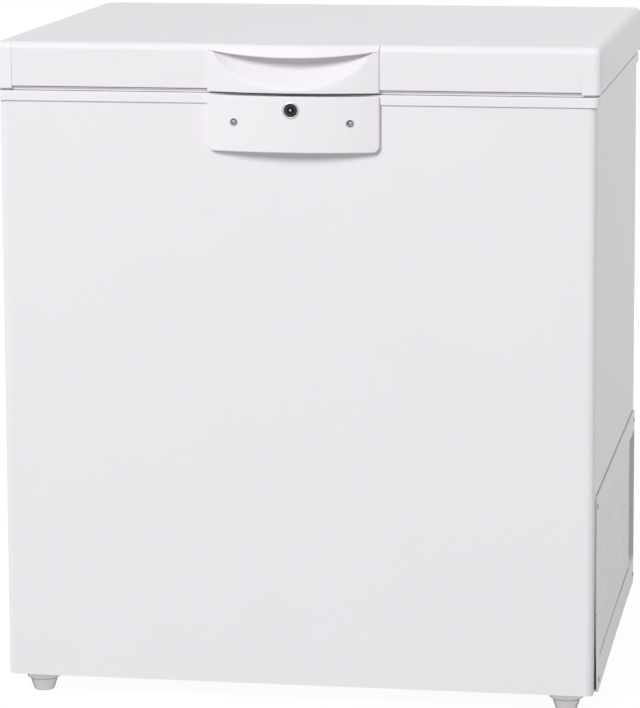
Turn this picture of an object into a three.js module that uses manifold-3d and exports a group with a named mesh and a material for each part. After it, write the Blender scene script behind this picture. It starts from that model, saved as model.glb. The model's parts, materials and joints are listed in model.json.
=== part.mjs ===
// Chest freezer of the 200-litre class, as an assembly of separate named pieces.
// Millimetres, +Z up. The front faces -Y, the floor is z = 0 and the origin is the
// centre of the footprint, with the handle in front and the hinges behind counted in.
import * as THREE from 'three';
import { mergeVertices } from 'three/addons/utils/BufferGeometryUtils.js';
import Module from 'manifold-3d';

const wasm = await Module();
wasm.setup();

// ---- Driving dimensions ------------------------------------------------------------
const GAP = 0.3; // clearance left between pieces that touch
const SNAP = 0.001; // corners are kept to this grid, so that flush faces stay flush
const SHEET = 1; // steel and liner sheet thickness

const CABINET_WIDTH = 778;
const CABINET_DEPTH = 636;
const FOOT_HEIGHT = 30; // floor to cabinet bottom
const CABINET_TOP = 797; // upper edge of the steel sheets
const CORNER_RADIUS = 10; // vertical front corners of the wrapped sheet
const WALL = 60; // insulation between sheet and liner

const FRAME_HEIGHT = 13; // plastic top frame
const FRAME_PROUD = 3.3;
const FRAME_RADIUS = 8;
const LEDGE_WIDTH = 20; // step inside the frame that the basket hangs on
const LEDGE_DROP = 7;

const LID_WIDTH = 790;
const LID_BOTTOM = 816;
const LID_TOP = 874;
const LID_PROUD = 5; // in front of the cabinet's front sheet
const LID_OVERHANG = 10.5; // behind the cabinet's back
const LID_RADIUS = 10;
const END_CAP_WIDTH = 24.5;
const PLUG_DEPTH = 7.5; // inner panel reaching down into the opening

const MACHINE_ROOM_WIDTH = 198;
const MACHINE_ROOM_TOP = 286;

const HANDLE_WIDTH = 224;
const HANDLE_BOTTOM = 812.5;
const HANDLE_BULGE = 24.5; // mid-width, in front of the cabinet's front sheet
const HANDLE_EDGE = 7.5; // the same at the two ends
const LOCK_PROUD = 1; // chrome ring in front of the plate
const PLATE_TOP = 808.4;
const PLATE_BOTTOM = 736;
const PLATE_WALL = 2.5;
const PLATE_SCREW_X = 75.7;
const PLATE_SCREW_Z = 773.7;
const LOCK_Z = 791;
const LOCK_RADIUS = 8.2;
const CAM_LENGTH = 29.5;

const HINGE_X = 262;
const HINGE_PIN_Y = 336;
const HINGE_PIN_Z = 808;
const HINGE_PIN_RADIUS = 3;
const HINGE_WIDTH = 52;

const BASKET_WIDTH = 202;
const BASKET_LENGTH = 496; // front to back
const BASKET_BOTTOM = 610;
const BASKET_LEFT = -312;
const WIRE = 4;

// ---- Places worked out from them ---------------------------------------------------
const halfWidth = CABINET_WIDTH / 2;
const halfDepth = CABINET_DEPTH / 2;
const frontY = -halfDepth;
const backY = halfDepth;
const bottomZ = FOOT_HEIGHT;
const frameTop = CABINET_TOP + FRAME_HEIGHT;
const sheetTop = CABINET_TOP - GAP;
const lidHalf = LID_WIDTH / 2;
const lidFront = frontY - LID_PROUD;
const lidBack = backY + LID_OVERHANG;
const capSeam = lidHalf - END_CAP_WIDTH;
const tubX = halfWidth - WALL; // half width of the inside of the liner
const tubY = halfDepth - WALL;
const tubFloor = bottomZ + WALL + 5;
const roomLeft = halfWidth - MACHINE_ROOM_WIDTH;
const stepLeft = roomLeft - WALL;
const stepTop = MACHINE_ROOM_TOP + WALL;
const handleHalf = HANDLE_WIDTH / 2;
const bulgeSag = HANDLE_BULGE - HANDLE_EDGE;
const bulgeRadius = (handleHalf ** 2 + bulgeSag ** 2) / (2 * bulgeSag);
const bulgeFront = frontY - HANDLE_BULGE;
const plugBottom = LID_BOTTOM - PLUG_DEPTH;

// ---- Materials ---------------------------------------------------------------------
function finish(color, roughness, metalness = 0) {
  return new THREE.MeshStandardMaterial({ color, roughness, metalness });
}
const whiteSheet = finish(0xecebee, 0.35);
const whitePlastic = finish(0xf2f1f4, 0.3);
const linerWhite = finish(0xe9edf0, 0.4);
const ventGrey = finish(0xc9c6ca, 0.5);
const footGrey = finish(0xa9a6a6, 0.5);
const foamCream = finish(0xe8dcae, 0.9);
const gasketGrey = finish(0xbcbcc0, 0.7);
const rubberBlack = finish(0x1c1c1e, 0.8);
const chrome = finish(0xd8d8dc, 0.12, 1);
const zinc = finish(0xb8bcc2, 0.35, 1);
const blackMetal = finish(0x151517, 0.35, 0.6);
const compressorBlack = finish(0x17181a, 0.4, 0.3);
const copper = finish(0xb4704a, 0.35, 1);
const darkPlastic = finish(0x2b2c2f, 0.55);
const wireWhite = finish(0xe6e8ea, 0.35);

// ---- Solids ------------------------------------------------------------------------
const X = new THREE.Vector3(1, 0, 0);
const Y = new THREE.Vector3(0, 1, 0);
const Z = new THREE.Vector3(0, 0, 1);
const alongX = new THREE.Matrix4().makeBasis(Y, Z, X); // a (y, z) outline, grown along +X
const alongY = new THREE.Matrix4().makeBasis(X, Z, Y.clone().negate()); // (x, z), grown along -Y

function solid(geometry) {
  const plain = geometry.clone();
  plain.deleteAttribute('normal');
  plain.deleteAttribute('uv');
  const { array } = plain.attributes.position;
  array.forEach((value, i) => { array[i] = Math.round(value / SNAP) * SNAP; });
  const merged = mergeVertices(plain, SNAP / 10);
  return new wasm.Manifold(new wasm.Mesh({
    numProp: 3,
    vertProperties: new Float32Array(merged.attributes.position.array),
    triVerts: new Uint32Array(merged.index.array),
  }));
}

function join(first, ...others) {
  return others.reduce((sum, other) => sum.add(other), first);
}

function cut(body, ...tools) {
  return tools.reduce((rest, tool) => rest.subtract(tool), body);
}

function toGeometry(body) {
  const { vertProperties, triVerts } = body.getMesh();
  const geometry = new THREE.BufferGeometry();
  geometry.setAttribute('position', new THREE.BufferAttribute(vertProperties, 3));
  geometry.setIndex(new THREE.BufferAttribute(triVerts, 1));
  geometry.computeVertexNormals();
  return geometry;
}

function block(x0, x1, y0, y1, z0, z1) {
  const geometry = new THREE.BoxGeometry(x1 - x0, y1 - y0, z1 - z0);
  geometry.translate((x0 + x1) / 2, (y0 + y1) / 2, (z0 + z1) / 2);
  return solid(geometry);
}

// Rectangle with a radius for each corner: lower left, lower right, upper right, upper left.
function roundedRectangle(x0, y0, x1, y1, [a, b, c, d]) {
  const shape = new THREE.Shape();
  const corner = (x, y, r, from) => {
    if (r > 0) shape.absarc(x, y, r, from, from + Math.PI / 2, false);
    else shape.lineTo(x, y);
  };
  shape.moveTo(x0, y0 + a);
  corner(x0 + a, y0 + a, a, Math.PI);
  corner(x1 - b, y0 + b, b, 1.5 * Math.PI);
  corner(x1 - c, y1 - c, c, 0);
  corner(x0 + d, y1 - d, d, Math.PI / 2);
  return shape;
}

function extrude(shape, length, curveSegments) {
  return new THREE.ExtrudeGeometry(shape, { depth: length, bevelEnabled: false, curveSegments });
}

function prismZ(shape, z0, z1, segments = 5) {
  return solid(extrude(shape, z1 - z0, segments).translate(0, 0, z0));
}

function prismX(shape, x0, x1, segments = 5) {
  return solid(extrude(shape, x1 - x0, segments).applyMatrix4(alongX).translate(x0, 0, 0));
}

function prismY(shape, y0, y1, segments = 5) {
  return solid(extrude(shape, y1 - y0, segments).applyMatrix4(alongY).translate(0, y1, 0));
}

function rod(radius, length, sides = 16) {
  return new THREE.CylinderGeometry(radius, radius, length, sides);
}

function rodX(x0, x1, y, z, radius, sides) {
  return solid(rod(radius, x1 - x0, sides).rotateZ(Math.PI / 2).translate((x0 + x1) / 2, y, z));
}

function rodY(y0, y1, x, z, radius, sides) {
  return solid(rod(radius, y1 - y0, sides).translate(x, (y0 + y1) / 2, z));
}

function rodZ(z0, z1, x, y, radius, sides) {
  return solid(rod(radius, z1 - z0, sides).rotateX(Math.PI / 2).translate(x, y, (z0 + z1) / 2));
}

// A profile of [radius, height] pairs, bottom to top, turned about a vertical axis.
function turnedZ(profile, x, y, sides = 24) {
  const points = profile.map(([radius, height]) => new THREE.Vector2(radius, height));
  return solid(new THREE.LatheGeometry(points, sides).rotateX(Math.PI / 2).translate(x, y, 0));
}

// A round tube or wire along a smooth curve through the given points.
function tube(points, radius, steps, sides = 8) {
  const path = new THREE.CatmullRomCurve3(points.map((p) => new THREE.Vector3(...p)));
  const section = new THREE.Shape();
  section.absarc(0, 0, radius, 0, 2 * Math.PI, false);
  const options = { extrudePath: path, steps, curveSegments: sides / 2, bevelEnabled: false };
  return solid(new THREE.ExtrudeGeometry(section, options));
}

const freezer = new THREE.Group();
freezer.name = 'chest_freezer';

function add(name, body, material) {
  const mesh = new THREE.Mesh(toGeometry(body), material);
  mesh.name = name;
  freezer.add(mesh);
}

// ---- Cabinet shell -----------------------------------------------------------------
function cabinetOutline(inset) {
  const r = CORNER_RADIUS - inset;
  return roundedRectangle(
    -halfWidth + inset, frontY + inset, halfWidth - inset, backY - inset, [r, r, 0, 0]);
}

// Front and both sides are one sheet; the right side is open over the machine room.
const ventOpeningFront = frontY + CORNER_RADIUS + 8;
function outerCabinet() {
  const outside = prismZ(cabinetOutline(0), bottomZ, sheetTop);
  const inside = prismZ(cabinetOutline(SHEET), bottomZ - 1, sheetTop + 1);
  const openBack = block(-halfWidth + SHEET, halfWidth - SHEET, backY - 50, backY + 1,
    bottomZ - 1, sheetTop + 1);
  const ventOpening = block(halfWidth - 9, halfWidth + 1, ventOpeningFront, backY + 1,
    bottomZ - 1, MACHINE_ROOM_TOP + 3);
  return cut(outside, inside, openBack, ventOpening, ...plateScrewHoles());
}

function rearPanel() {
  const panel = block(-halfWidth + SHEET + GAP, halfWidth - SHEET - GAP, backY - SHEET, backY,
    bottomZ, sheetTop);
  return cut(panel, block(roomLeft + GAP, halfWidth, backY - 5, backY + 5, 0, MACHINE_ROOM_TOP));
}

const drainX = -250;
const drainY = -190;
const drainRadius = 9;

function basePanel() {
  const inset = SHEET + GAP;
  const panel = block(-halfWidth + inset, roomLeft - GAP, frontY + inset, backY - inset,
    bottomZ, bottomZ + SHEET);
  const outline = prismZ(cabinetOutline(inset), bottomZ - 1, bottomZ + SHEET + 1);
  return cut(panel.intersect(outline), rodZ(0, 60, drainX, drainY, drainRadius + GAP));
}

// The insulated tub, stepped up over the machine room.
function tubSpace(grow) {
  const high = sheetTop + 2;
  const whole = block(-tubX - grow, tubX + grow, -tubY - grow, tubY + grow, tubFloor - grow, high);
  const step = block(stepLeft + grow, tubX + grow + 1, -tubY - grow - 1, tubY + grow + 1,
    tubFloor - grow - 1, stepTop - grow);
  return cut(whole, step);
}

// Square-section loops stand for the refrigerant tube: inside on the liner, outside on the sheet.
const COIL = 7;
const coilLevels = [410, 500, 590, 680];
function coilLoops(x, y, margin) {
  const loops = coilLevels.map((z) => cut(
    block(-x - COIL - margin, x + COIL + margin, -y - COIL - margin, y + COIL + margin,
      z - margin, z + COIL + margin),
    block(-x + margin, x - margin, -y + margin, y - margin, z - 10, z + 20)));
  const riser = block(x - 70 - margin, x - 70 + COIL + margin, y - margin, y + COIL + margin,
    coilLevels[0] + 1, coilLevels[coilLevels.length - 1] + 1);
  return join(...loops, riser);
}
const evaporatorX = tubX + SHEET + 2 * GAP;
const evaporatorY = tubY + SHEET + 2 * GAP;
const condenserX = halfWidth - SHEET - 2 * GAP - COIL;
const condenserY = halfDepth - SHEET - 2 * GAP - COIL;

// The outer tube runs along the front, and back along one side at each level.
function condenserCoil(margin) {
  const x1 = condenserX + COIL + margin;
  const y0 = -condenserY - COIL - margin;
  const runs = coilLevels.map((level, i) => {
    const z0 = level + 40 - margin;
    const z1 = level + 40 + COIL + margin;
    const front = block(-x1 + 12, x1 - 12, y0, -condenserY + margin, z0, z1);
    const side = block(condenserX - margin, x1, y0 + 12, condenserY - 60 + margin, z0, z1);
    const bend = block(x1 - 18 - 2 * margin, x1, y0, y0 + 18 + 2 * margin, z0, z1);
    const turn = join(side, bend);
    return join(front, i % 2 ? turn : turn.mirror([1, 0, 0]));
  });
  const riser = block(-margin, COIL + margin, y0, -condenserY + margin,
    coilLevels[0] + 41, coilLevels[coilLevels.length - 1] + 41);
  const skin = prismZ(cabinetOutline(SHEET + (margin ? 1 : 2) * GAP), 0, sheetTop);
  return join(...runs, riser).intersect(skin);
}

function cabinetFoam() {
  const outside = prismZ(cabinetOutline(SHEET + GAP), bottomZ + SHEET + GAP, sheetTop);
  const room = block(roomLeft, halfWidth, -400, 400, 0, MACHINE_ROOM_TOP);
  const evaporatorGroove = coilLoops(evaporatorX, evaporatorY, GAP);
  return cut(outside, tubSpace(SHEET + GAP), room, evaporatorGroove, condenserCoil(GAP),
    rodZ(0, 120, drainX, drainY, drainRadius + GAP), ...plateScrewHoles());
}

function innerLiner() {
  const outside = tubSpace(SHEET);
  const above = block(-500, 500, -500, 500, sheetTop, sheetTop + 50);
  return cut(outside, tubSpace(0), above, rodZ(0, 120, drainX, drainY, drainRadius + GAP));
}

// The frame covers the sheet edges and has a ledge for the basket round its inside.
function topFrame() {
  const x = halfWidth + FRAME_PROUD;
  const y = halfDepth + FRAME_PROUD;
  const r = FRAME_RADIUS;
  const outside = prismZ(roundedRectangle(-x, -y, x, y, [r, r, r, r]), CABINET_TOP, frameTop, 4);
  const mouthX = tubX - 3;
  const mouthY = tubY - 3;
  const mouth = block(-mouthX, mouthX, -mouthY, mouthY, CABINET_TOP - 1, frameTop + 1);
  const ledge = block(-mouthX - LEDGE_WIDTH, mouthX + LEDGE_WIDTH, -mouthY - LEDGE_WIDTH,
    mouthY + LEDGE_WIDTH, frameTop - LEDGE_DROP, frameTop + 1);
  return cut(outside, mouth, ledge);
}

add('outer_cabinet', outerCabinet(), whiteSheet);
add('rear_panel', rearPanel(), zinc);
add('base_panel', basePanel(), zinc);
add('cabinet_insulation', cabinetFoam(), foamCream);
add('evaporator_tube', coilLoops(evaporatorX, evaporatorY, 0), copper);
add('condenser_tube', condenserCoil(0), copper);
add('inner_liner', innerLiner(), linerWhite);
add('top_frame', topFrame(), whitePlastic);

// ---- Drain -------------------------------------------------------------------------
function drainTube() {
  const wallless = rodZ(bottomZ - 12, tubFloor - SHEET, drainX, drainY, drainRadius);
  return cut(wallless, rodZ(0, 120, drainX, drainY, drainRadius - 2));
}

function drainPlug() {
  const stem = drainRadius - 2 - GAP;
  const top = tubFloor + GAP;
  return turnedZ([[0, top - 22], [stem - 1, top - 22], [stem, top - 18], [stem, top], [14, top],
    [14, top + 3], [5, top + 4], [5, top + 8], [0, top + 8]], drainX, drainY, 16);
}

add('drain_tube', drainTube(), whitePlastic);
add('drain_plug', drainPlug(), gasketGrey);

// ---- Feet --------------------------------------------------------------------------
const footX = halfWidth - 38;
const footY = halfDepth - 42;
function foot(x, y) {
  const top = bottomZ - GAP;
  const body = turnedZ([[0, 0], [12, 0], [13.5, 1.5], [15.5, top - 10], [21, top - 7],
    [22.5, top - 5], [22.5, top], [0, top]], x, y, 20);
  const recess = rodZ(-1, 16, x, y, 8);
  const bore = rodZ(-1, top + 1, x, y, 2.8, 12);
  return cut(body, recess, bore);
}

function footScrew(x, y) {
  const head = rodZ(11, 15.7, x, y, 5.5);
  const shank = rodZ(15.5, bottomZ - 2 * GAP, x, y, 2.4, 12);
  return join(head, shank);
}

for (const [end, y] of [['front', -footY], ['rear', footY]]) {
  for (const [side, x] of [['left', -footX], ['right', footX]]) {
    add(`foot_${end}_${side}`, foot(x, y), footGrey);
    add(`foot_screw_${end}_${side}`, footScrew(x, y), zinc);
  }
}

// ---- Machine room ------------------------------------------------------------------
const coverDepth = 9; // how far the vent cover's rim reaches in from its face
const ventProud = 2;
const roomRight = halfWidth + ventProud - coverDepth - GAP;
const ventFront = ventOpeningFront + 1.5;
const ventBack = backY - 1;
const ventTop = MACHINE_ROOM_TOP + 2;
const ventBottom = bottomZ + 1;
const SLATS = 15;
const SLAT_PITCH = 11.8;
const slatTop = ventTop - 38;
const slatFront = ventFront + 36;
const slatBack = frontY + 500;
const pocketBack = slatBack + 88; // recessed strip behind the ends of the slats
const pocketDepth = 5;
const ventScrewSpots = [
  [ventFront + 13, ventTop - 13], [ventBack - 14, ventTop - 13],
  [ventFront + 13, ventBottom + 14], [ventBack - 14, ventBottom + 14],
];

function sideVentCover() {
  const outer = halfWidth + ventProud;
  const plate = prismX(roundedRectangle(ventFront, ventBottom, ventBack, ventTop, [4, 4, 4, 4]),
    outer - 3, outer, 3);
  const rim = cut(
    block(outer - coverDepth, outer - 2.5, ventFront, ventBack, ventBottom, MACHINE_ROOM_TOP - 1),
    block(outer - 10, outer, ventFront + 2, ventBack - 2, ventBottom + 2, MACHINE_ROOM_TOP - 3));
  const slots = Array.from({ length: SLATS }, (_, i) => {
    const z = slatTop - i * SLAT_PITCH;
    return block(outer - 5, outer + 1, slatFront, slatBack, z - 5, z);
  });
  const screwHoles = ventScrewSpots.map(([y, z]) => rodX(outer - 6, outer + 1, y, z, 2.3, 10));
  const pocketTop = slatTop + 8;
  const pocketBottom = slatTop - SLATS * SLAT_PITCH - 6;
  const pocketShell = block(outer - pocketDepth - 2.5, outer - 2, slatBack - 2.5, pocketBack + 2.5,
    pocketBottom - 2.5, pocketTop + 2.5);
  const pocket = block(outer - pocketDepth, outer + 1, slatBack, pocketBack, pocketBottom, pocketTop);
  return cut(join(plate, rim, pocketShell), pocket, ...slots, ...screwHoles);
}

function ventScrew(y, z) {
  const face = halfWidth + ventProud;
  return join(rodX(face + GAP - 0.1, face + 2, y, z, 4, 14), rodX(face - 12, face + 0.3, y, z, 1.9, 10));
}

const machineBase = bottomZ + 2;
const compressorX = roomLeft + 97;
const compressorY = 150;
function compressorPlate() {
  const plate = block(roomLeft + 1, roomRight, -70, backY - 5, bottomZ, machineBase);
  const upstand = block(roomLeft + 1, roomRight, -72, -70, bottomZ, bottomZ + 14);
  return join(plate, upstand);
}

// The machine room's floor runs on to the front as a plain tray.
function frontTray() {
  return block(roomLeft + 1, roomRight, frontY + SHEET + 9, -73, bottomZ, bottomZ + SHEET);
}

const mountOffsets = [[-66, -58], [66, -58], [-66, 58], [66, 58]];
function compressorBody() {
  const shell = turnedZ([[0, 54], [50, 54], [66, 66], [71, 90], [71, 128], [74, 130], [74, 137],
    [71, 139], [70, 170], [62, 192], [42, 205], [0, 210]], compressorX, compressorY, 24);
  const feet = block(compressorX - 76, compressorX + 76, compressorY - 68, compressorY + 68, 51, 54.5);
  const holes = mountOffsets.map(([dx, dy]) => rodZ(45, 60, compressorX + dx, compressorY + dy, 5.5, 12));
  return join(cut(feet, ...holes), shell);
}

function compressorMount(dx, dy) {
  const x = compressorX + dx;
  const y = compressorY + dy;
  return turnedZ([[0, machineBase + GAP], [12, machineBase + GAP], [9, 41], [12, 50.7], [5, 50.7],
    [5, 58], [0, 58]], x, y, 12);
}

function relayCover() {
  const box = block(compressorX - 26, compressorX + 26, compressorY - 104, compressorY - 55, 92, 150);
  return cut(box, rodZ(80, 220, compressorX, compressorY, 74 + 2 * GAP, 48));
}

const drierX = roomLeft + 30;
const drierY = -10;
function filterDrier() {
  return turnedZ([[0, 120], [3, 120], [3, 132], [9.5, 142], [9.5, 208], [3, 220], [3, 232], [0, 232]],
    drierX, drierY, 16);
}

const wallFace = roomLeft + 2 * GAP;
function suctionTube() {
  const x = compressorX - 71.6;
  return tube([[wallFace, 40, 240], [wallFace + 8, 40, 240], [wallFace + 16, 44, 236], [drierX, 56, 205],
    [x - 6, 92, 150], [x - 1, 112, 112], [x + 1.2, 125, 104]], 4, 18);
}

function dischargeTube() {
  return tube([[drierX, drierY, 119], [drierX, drierY, 104], [drierX + 8, 6, 82],
    [compressorX - 46, 40, 74], [compressorX - 30, 66, 79], [compressorX - 22, 79.5, 84]], 3, 18);
}

const grilleTop = MACHINE_ROOM_TOP - 2;
const grilleX0 = roomLeft + 1;
const knobX = halfWidth - 60;
const knobZ = 232;
const inletX = roomLeft + 34;
const inletZ = 58;
function rearGrille() {
  const y1 = backY;
  const y0 = y1 - 2;
  const plate = block(grilleX0, roomRight, y0, y1, machineBase + 1, grilleTop);
  const slots = [];
  for (let row = 0; row < 9; row += 1) {
    const z = 78 + row * 14;
    slots.push(block(grilleX0 + 18, roomRight - 18, y0 - 1, y1 + 1, z, z + 6));
  }
  const shaftHole = rodY(y0 - 1, y1 + 1, knobX, knobZ, 5.5);
  const inletHole = rodY(y0 - 1, y1 + 1, inletX, inletZ, 9.3);
  return cut(plate, ...slots, shaftHole, inletHole);
}

// Gland that the mains cord would leave by: a flanged bush with a stub outside.
function mainsInlet() {
  const y = backY + GAP;
  const flange = rodY(y, y + 2.5, inletX, inletZ, 13, 20);
  const inner = rodY(y - 14, y + 0.5, inletX, inletZ, 8.8, 20);
  const stub = rodY(y + 2, y + 14, inletX, inletZ, 7, 20);
  const bore = rodY(y - 30, y + 30, inletX, inletZ, 4.2, 16);
  return cut(join(flange, inner, stub), bore);
}

function thermostatBody() {
  const y = backY - 2 - GAP;
  return block(knobX - 26, knobX + 26, y - 34, y, knobZ - 24, knobZ + 24);
}

function thermostatKnob() {
  const y = backY;
  const skirt = rodY(y + GAP, y + 4, knobX, knobZ, 19, 28);
  const grip = rodY(y + 3.8, y + 15, knobX, knobZ, 14, 28);
  const pointer = block(knobX - 1.4, knobX + 1.4, y + 14.5, y + 16.5, knobZ, knobZ + 13);
  const shaft = rodY(y - 1.8, y + 1, knobX, knobZ, 4.5, 12);
  return join(skirt, grip, pointer, shaft);
}

add('side_vent_cover', sideVentCover(), ventGrey);
ventScrewSpots.forEach(([y, z], i) => add(`vent_screw_${i + 1}`, ventScrew(y, z), zinc));
add('machine_room_tray', frontTray(), zinc);
add('compressor_base_plate', compressorPlate(), zinc);
add('compressor', compressorBody(), compressorBlack);
mountOffsets.forEach(([dx, dy], i) => add(`compressor_mount_${i + 1}`, compressorMount(dx, dy), rubberBlack));
add('start_relay_cover', relayCover(), darkPlastic);
add('filter_drier', filterDrier(), copper);
add('suction_tube', suctionTube(), copper);
add('discharge_tube', dischargeTube(), copper);
add('rear_grille', rearGrille(), zinc);
add('mains_inlet', mainsInlet(), darkPlastic);
add('thermostat', thermostatBody(), darkPlastic);
add('thermostat_knob', thermostatKnob(), whitePlastic);

// ---- Lid ---------------------------------------------------------------------------
function lidProfile(inset, bottom) {
  const r = LID_RADIUS - inset;
  return roundedRectangle(lidFront + inset, bottom, lidBack - inset, LID_TOP - inset, [0, 0, r, r]);
}

// Front, top and back are one sheet with a hem turned in along the lower edges.
const HEM = 9;
function lidOuterPanel() {
  const outside = prismX(lidProfile(0, LID_BOTTOM), -capSeam, capSeam);
  const inside = prismX(lidProfile(SHEET, LID_BOTTOM + SHEET), -capSeam - 1, capSeam + 1);
  const openBottom = block(-capSeam - 1, capSeam + 1, lidFront + HEM, lidBack - HEM,
    LID_BOTTOM - 1, LID_BOTTOM + 5);
  return cut(outside, inside, openBottom);
}

const CAP_DROP = 2.7; // the end caps reach a little below the hem
const capInnerX = lidHalf - 3.2;
const capInnerFront = lidFront + 3.2;
const capInnerBack = lidBack - 3.2;
const capInnerTop = LID_TOP - 4.5;
function lidEndCap(side) {
  const r = LID_RADIUS;
  const outline = roundedRectangle(lidFront + r, LID_BOTTOM - CAP_DROP, lidBack - r, LID_TOP - r,
    [0, 0, 0, 0]);
  const length = END_CAP_WIDTH - GAP - r;
  const bevel = { depth: length, bevelThickness: r, bevelSize: r, bevelSegments: 4, curveSegments: 4 };
  const shell = solid(new THREE.ExtrudeGeometry(outline, bevel).applyMatrix4(alongX)
    .translate(capSeam + GAP, 0, 0));
  const keep = block(capSeam + GAP, lidHalf, lidFront, lidBack, LID_BOTTOM - CAP_DROP, LID_TOP);
  const cavity = block(capSeam - 1, capInnerX, capInnerFront, capInnerBack, 0, capInnerTop);
  const cap = cut(shell.intersect(keep), cavity);
  return side > 0 ? cap : cap.mirror([1, 0, 0]);
}

// Thermoformed white inner panel: a flat rim, and a shallow tray reaching into the opening.
const PANEL = 1.5;
const rimZ = LID_BOTTOM - 1.7; // underside of the rim
const plugX = tubX - 22;
const plugY = tubY - 24;
function plugBody(inset) {
  const outline = roundedRectangle(-plugX + inset, -plugY + inset, plugX - inset, plugY - inset,
    Array(4).fill(18));
  return prismZ(outline, plugBottom + inset, LID_BOTTOM + 8, 4);
}

function lidInnerPanel() {
  const x = capInnerX - GAP;
  const rim = block(-x, x, capInnerFront + GAP, capInnerBack - GAP, rimZ, rimZ + PANEL - GAP + 0.2);
  const top = block(-500, 500, -500, 500, rimZ + PANEL - 0.1, 900);
  return cut(join(rim, plugBody(0)), plugBody(PANEL), top);
}

function lidFoam() {
  const inset = SHEET + GAP;
  const middle = prismX(lidProfile(inset, LID_BOTTOM + inset), -capSeam + 0.1, capSeam - 0.1);
  const x = capInnerX - GAP;
  const ends = block(-x, x, capInnerFront + GAP, capInnerBack - GAP, LID_BOTTOM + inset,
    capInnerTop - GAP);
  return join(middle, ends, plugBody(PANEL + GAP).intersect(block(-400, 400, -400, 400, 0, 820)));
}

function lidGasket() {
  const z0 = frameTop + GAP;
  const z1 = rimZ - GAP;
  const outerX = halfWidth - 8;
  const outerY = halfDepth - 8;
  const innerX = outerX - 15;
  const innerY = outerY - 15;
  return cut(
    prismZ(roundedRectangle(-outerX, -outerY, outerX, outerY, Array(4).fill(16)), z0, z1, 4),
    prismZ(roundedRectangle(-innerX, -innerY, innerX, innerY, Array(4).fill(4)), z0 - 1, z1 + 1, 3));
}

add('lid_outer_panel', lidOuterPanel(), whiteSheet);
add('lid_end_cap_left', lidEndCap(-1), whitePlastic);
add('lid_end_cap_right', lidEndCap(1), whitePlastic);
add('lid_insulation', lidFoam(), foamCream);
add('lid_inner_panel', lidInnerPanel(), linerWhite);
add('lid_gasket', lidGasket(), gasketGrey);

// ---- Handle and lock ---------------------------------------------------------------
// Plan outline shared by the handle and the lock plate: flat at the back, bowed in front.
function bowedOutline(rearY, inset) {
  const radius = bulgeRadius - inset;
  const centreY = bulgeFront + bulgeRadius;
  const half = handleHalf - inset;
  const angle = Math.asin(half / radius);
  const shape = new THREE.Shape();
  shape.moveTo(half, rearY);
  shape.lineTo(-half, rearY);
  shape.absarc(0, centreY, radius, 1.5 * Math.PI - angle, 1.5 * Math.PI + angle, false);
  return shape;
}

function bowY(x) {
  return bulgeFront + bulgeRadius - Math.sqrt(bulgeRadius ** 2 - x ** 2);
}

const VISOR_MID = 857.5; // lower edge of the visor, mid-width
const VISOR_END = 866;
const VISOR_WALL = 4;
const scoopX = 106; // half width, depth and half height of the dished finger recess
const scoopY = 13.5;
const scoopZ = 45.5;
const scoopCentreZ = 862;
const scoopRoof = 868;
const lipY = lidFront + 5; // the handle's top laps this far over the lid's rounded edge
// Room for the cam to swing up from the right, through the plate's top into the handle.
const camSwing = { x0: -8, x1: 28, y0: frontY - 11, y1: frontY - 6, top: 822.5 };
function camSlot(z0, z1) {
  return block(camSwing.x0, camSwing.x1, camSwing.y0, camSwing.y1, z0, z1);
}

// The finger recess is a dish of even depth, so it bows with the handle's front.
function scoopBody() {
  const dish = new THREE.SphereGeometry(1, 28, 14).scale(scoopX, scoopY, scoopZ)
    .translate(0, 0, scoopCentreZ);
  const { array } = dish.attributes.position;
  for (let i = 0; i < array.length; i += 3) array[i + 1] += bowY(array[i]);
  return solid(dish);
}

function lidHandle() {
  const rear = lidFront - GAP;
  const lip = cut(block(-handleHalf, handleHalf, rear - 1, lipY, LID_TOP - LID_RADIUS, LID_TOP),
    prismX(lidProfile(-GAP, LID_BOTTOM), -200, 200).intersect(block(-200, 200, -400, 0, 0, 1000)));
  const body = join(prismZ(bowedOutline(rear, 0), HANDLE_BOTTOM, LID_TOP, 10), lip);
  const scoop = scoopBody().intersect(block(-200, 200, bulgeFront - 40, rear, 700, scoopRoof));
  const hollow = prismZ(bowedOutline(lipY, VISOR_WALL), HANDLE_BOTTOM - 1, LID_TOP + 1, 10);
  const skin = cut(body, hollow);
  const sag = VISOR_END - VISOR_MID;
  const radius = (handleHalf ** 2 + sag ** 2) / (2 * sag);
  const angle = Math.asin(handleHalf / radius);
  const above = new THREE.Shape();
  above.absarc(0, VISOR_MID + radius, radius, 1.5 * Math.PI - angle, 1.5 * Math.PI + angle, false);
  above.lineTo(handleHalf, LID_TOP);
  above.lineTo(-handleHalf, LID_TOP);
  const visor = skin.intersect(prismY(above, bulgeFront - 5, rear - 1, 8));
  return cut(join(cut(body, scoop), visor), camSlot(HANDLE_BOTTOM - 1, camSwing.top));
}

function plateScrewHoles() {
  return [-PLATE_SCREW_X, PLATE_SCREW_X].map((x) => rodY(frontY - 5, frontY + 16, x, PLATE_SCREW_Z, 2.6, 12));
}

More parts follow.
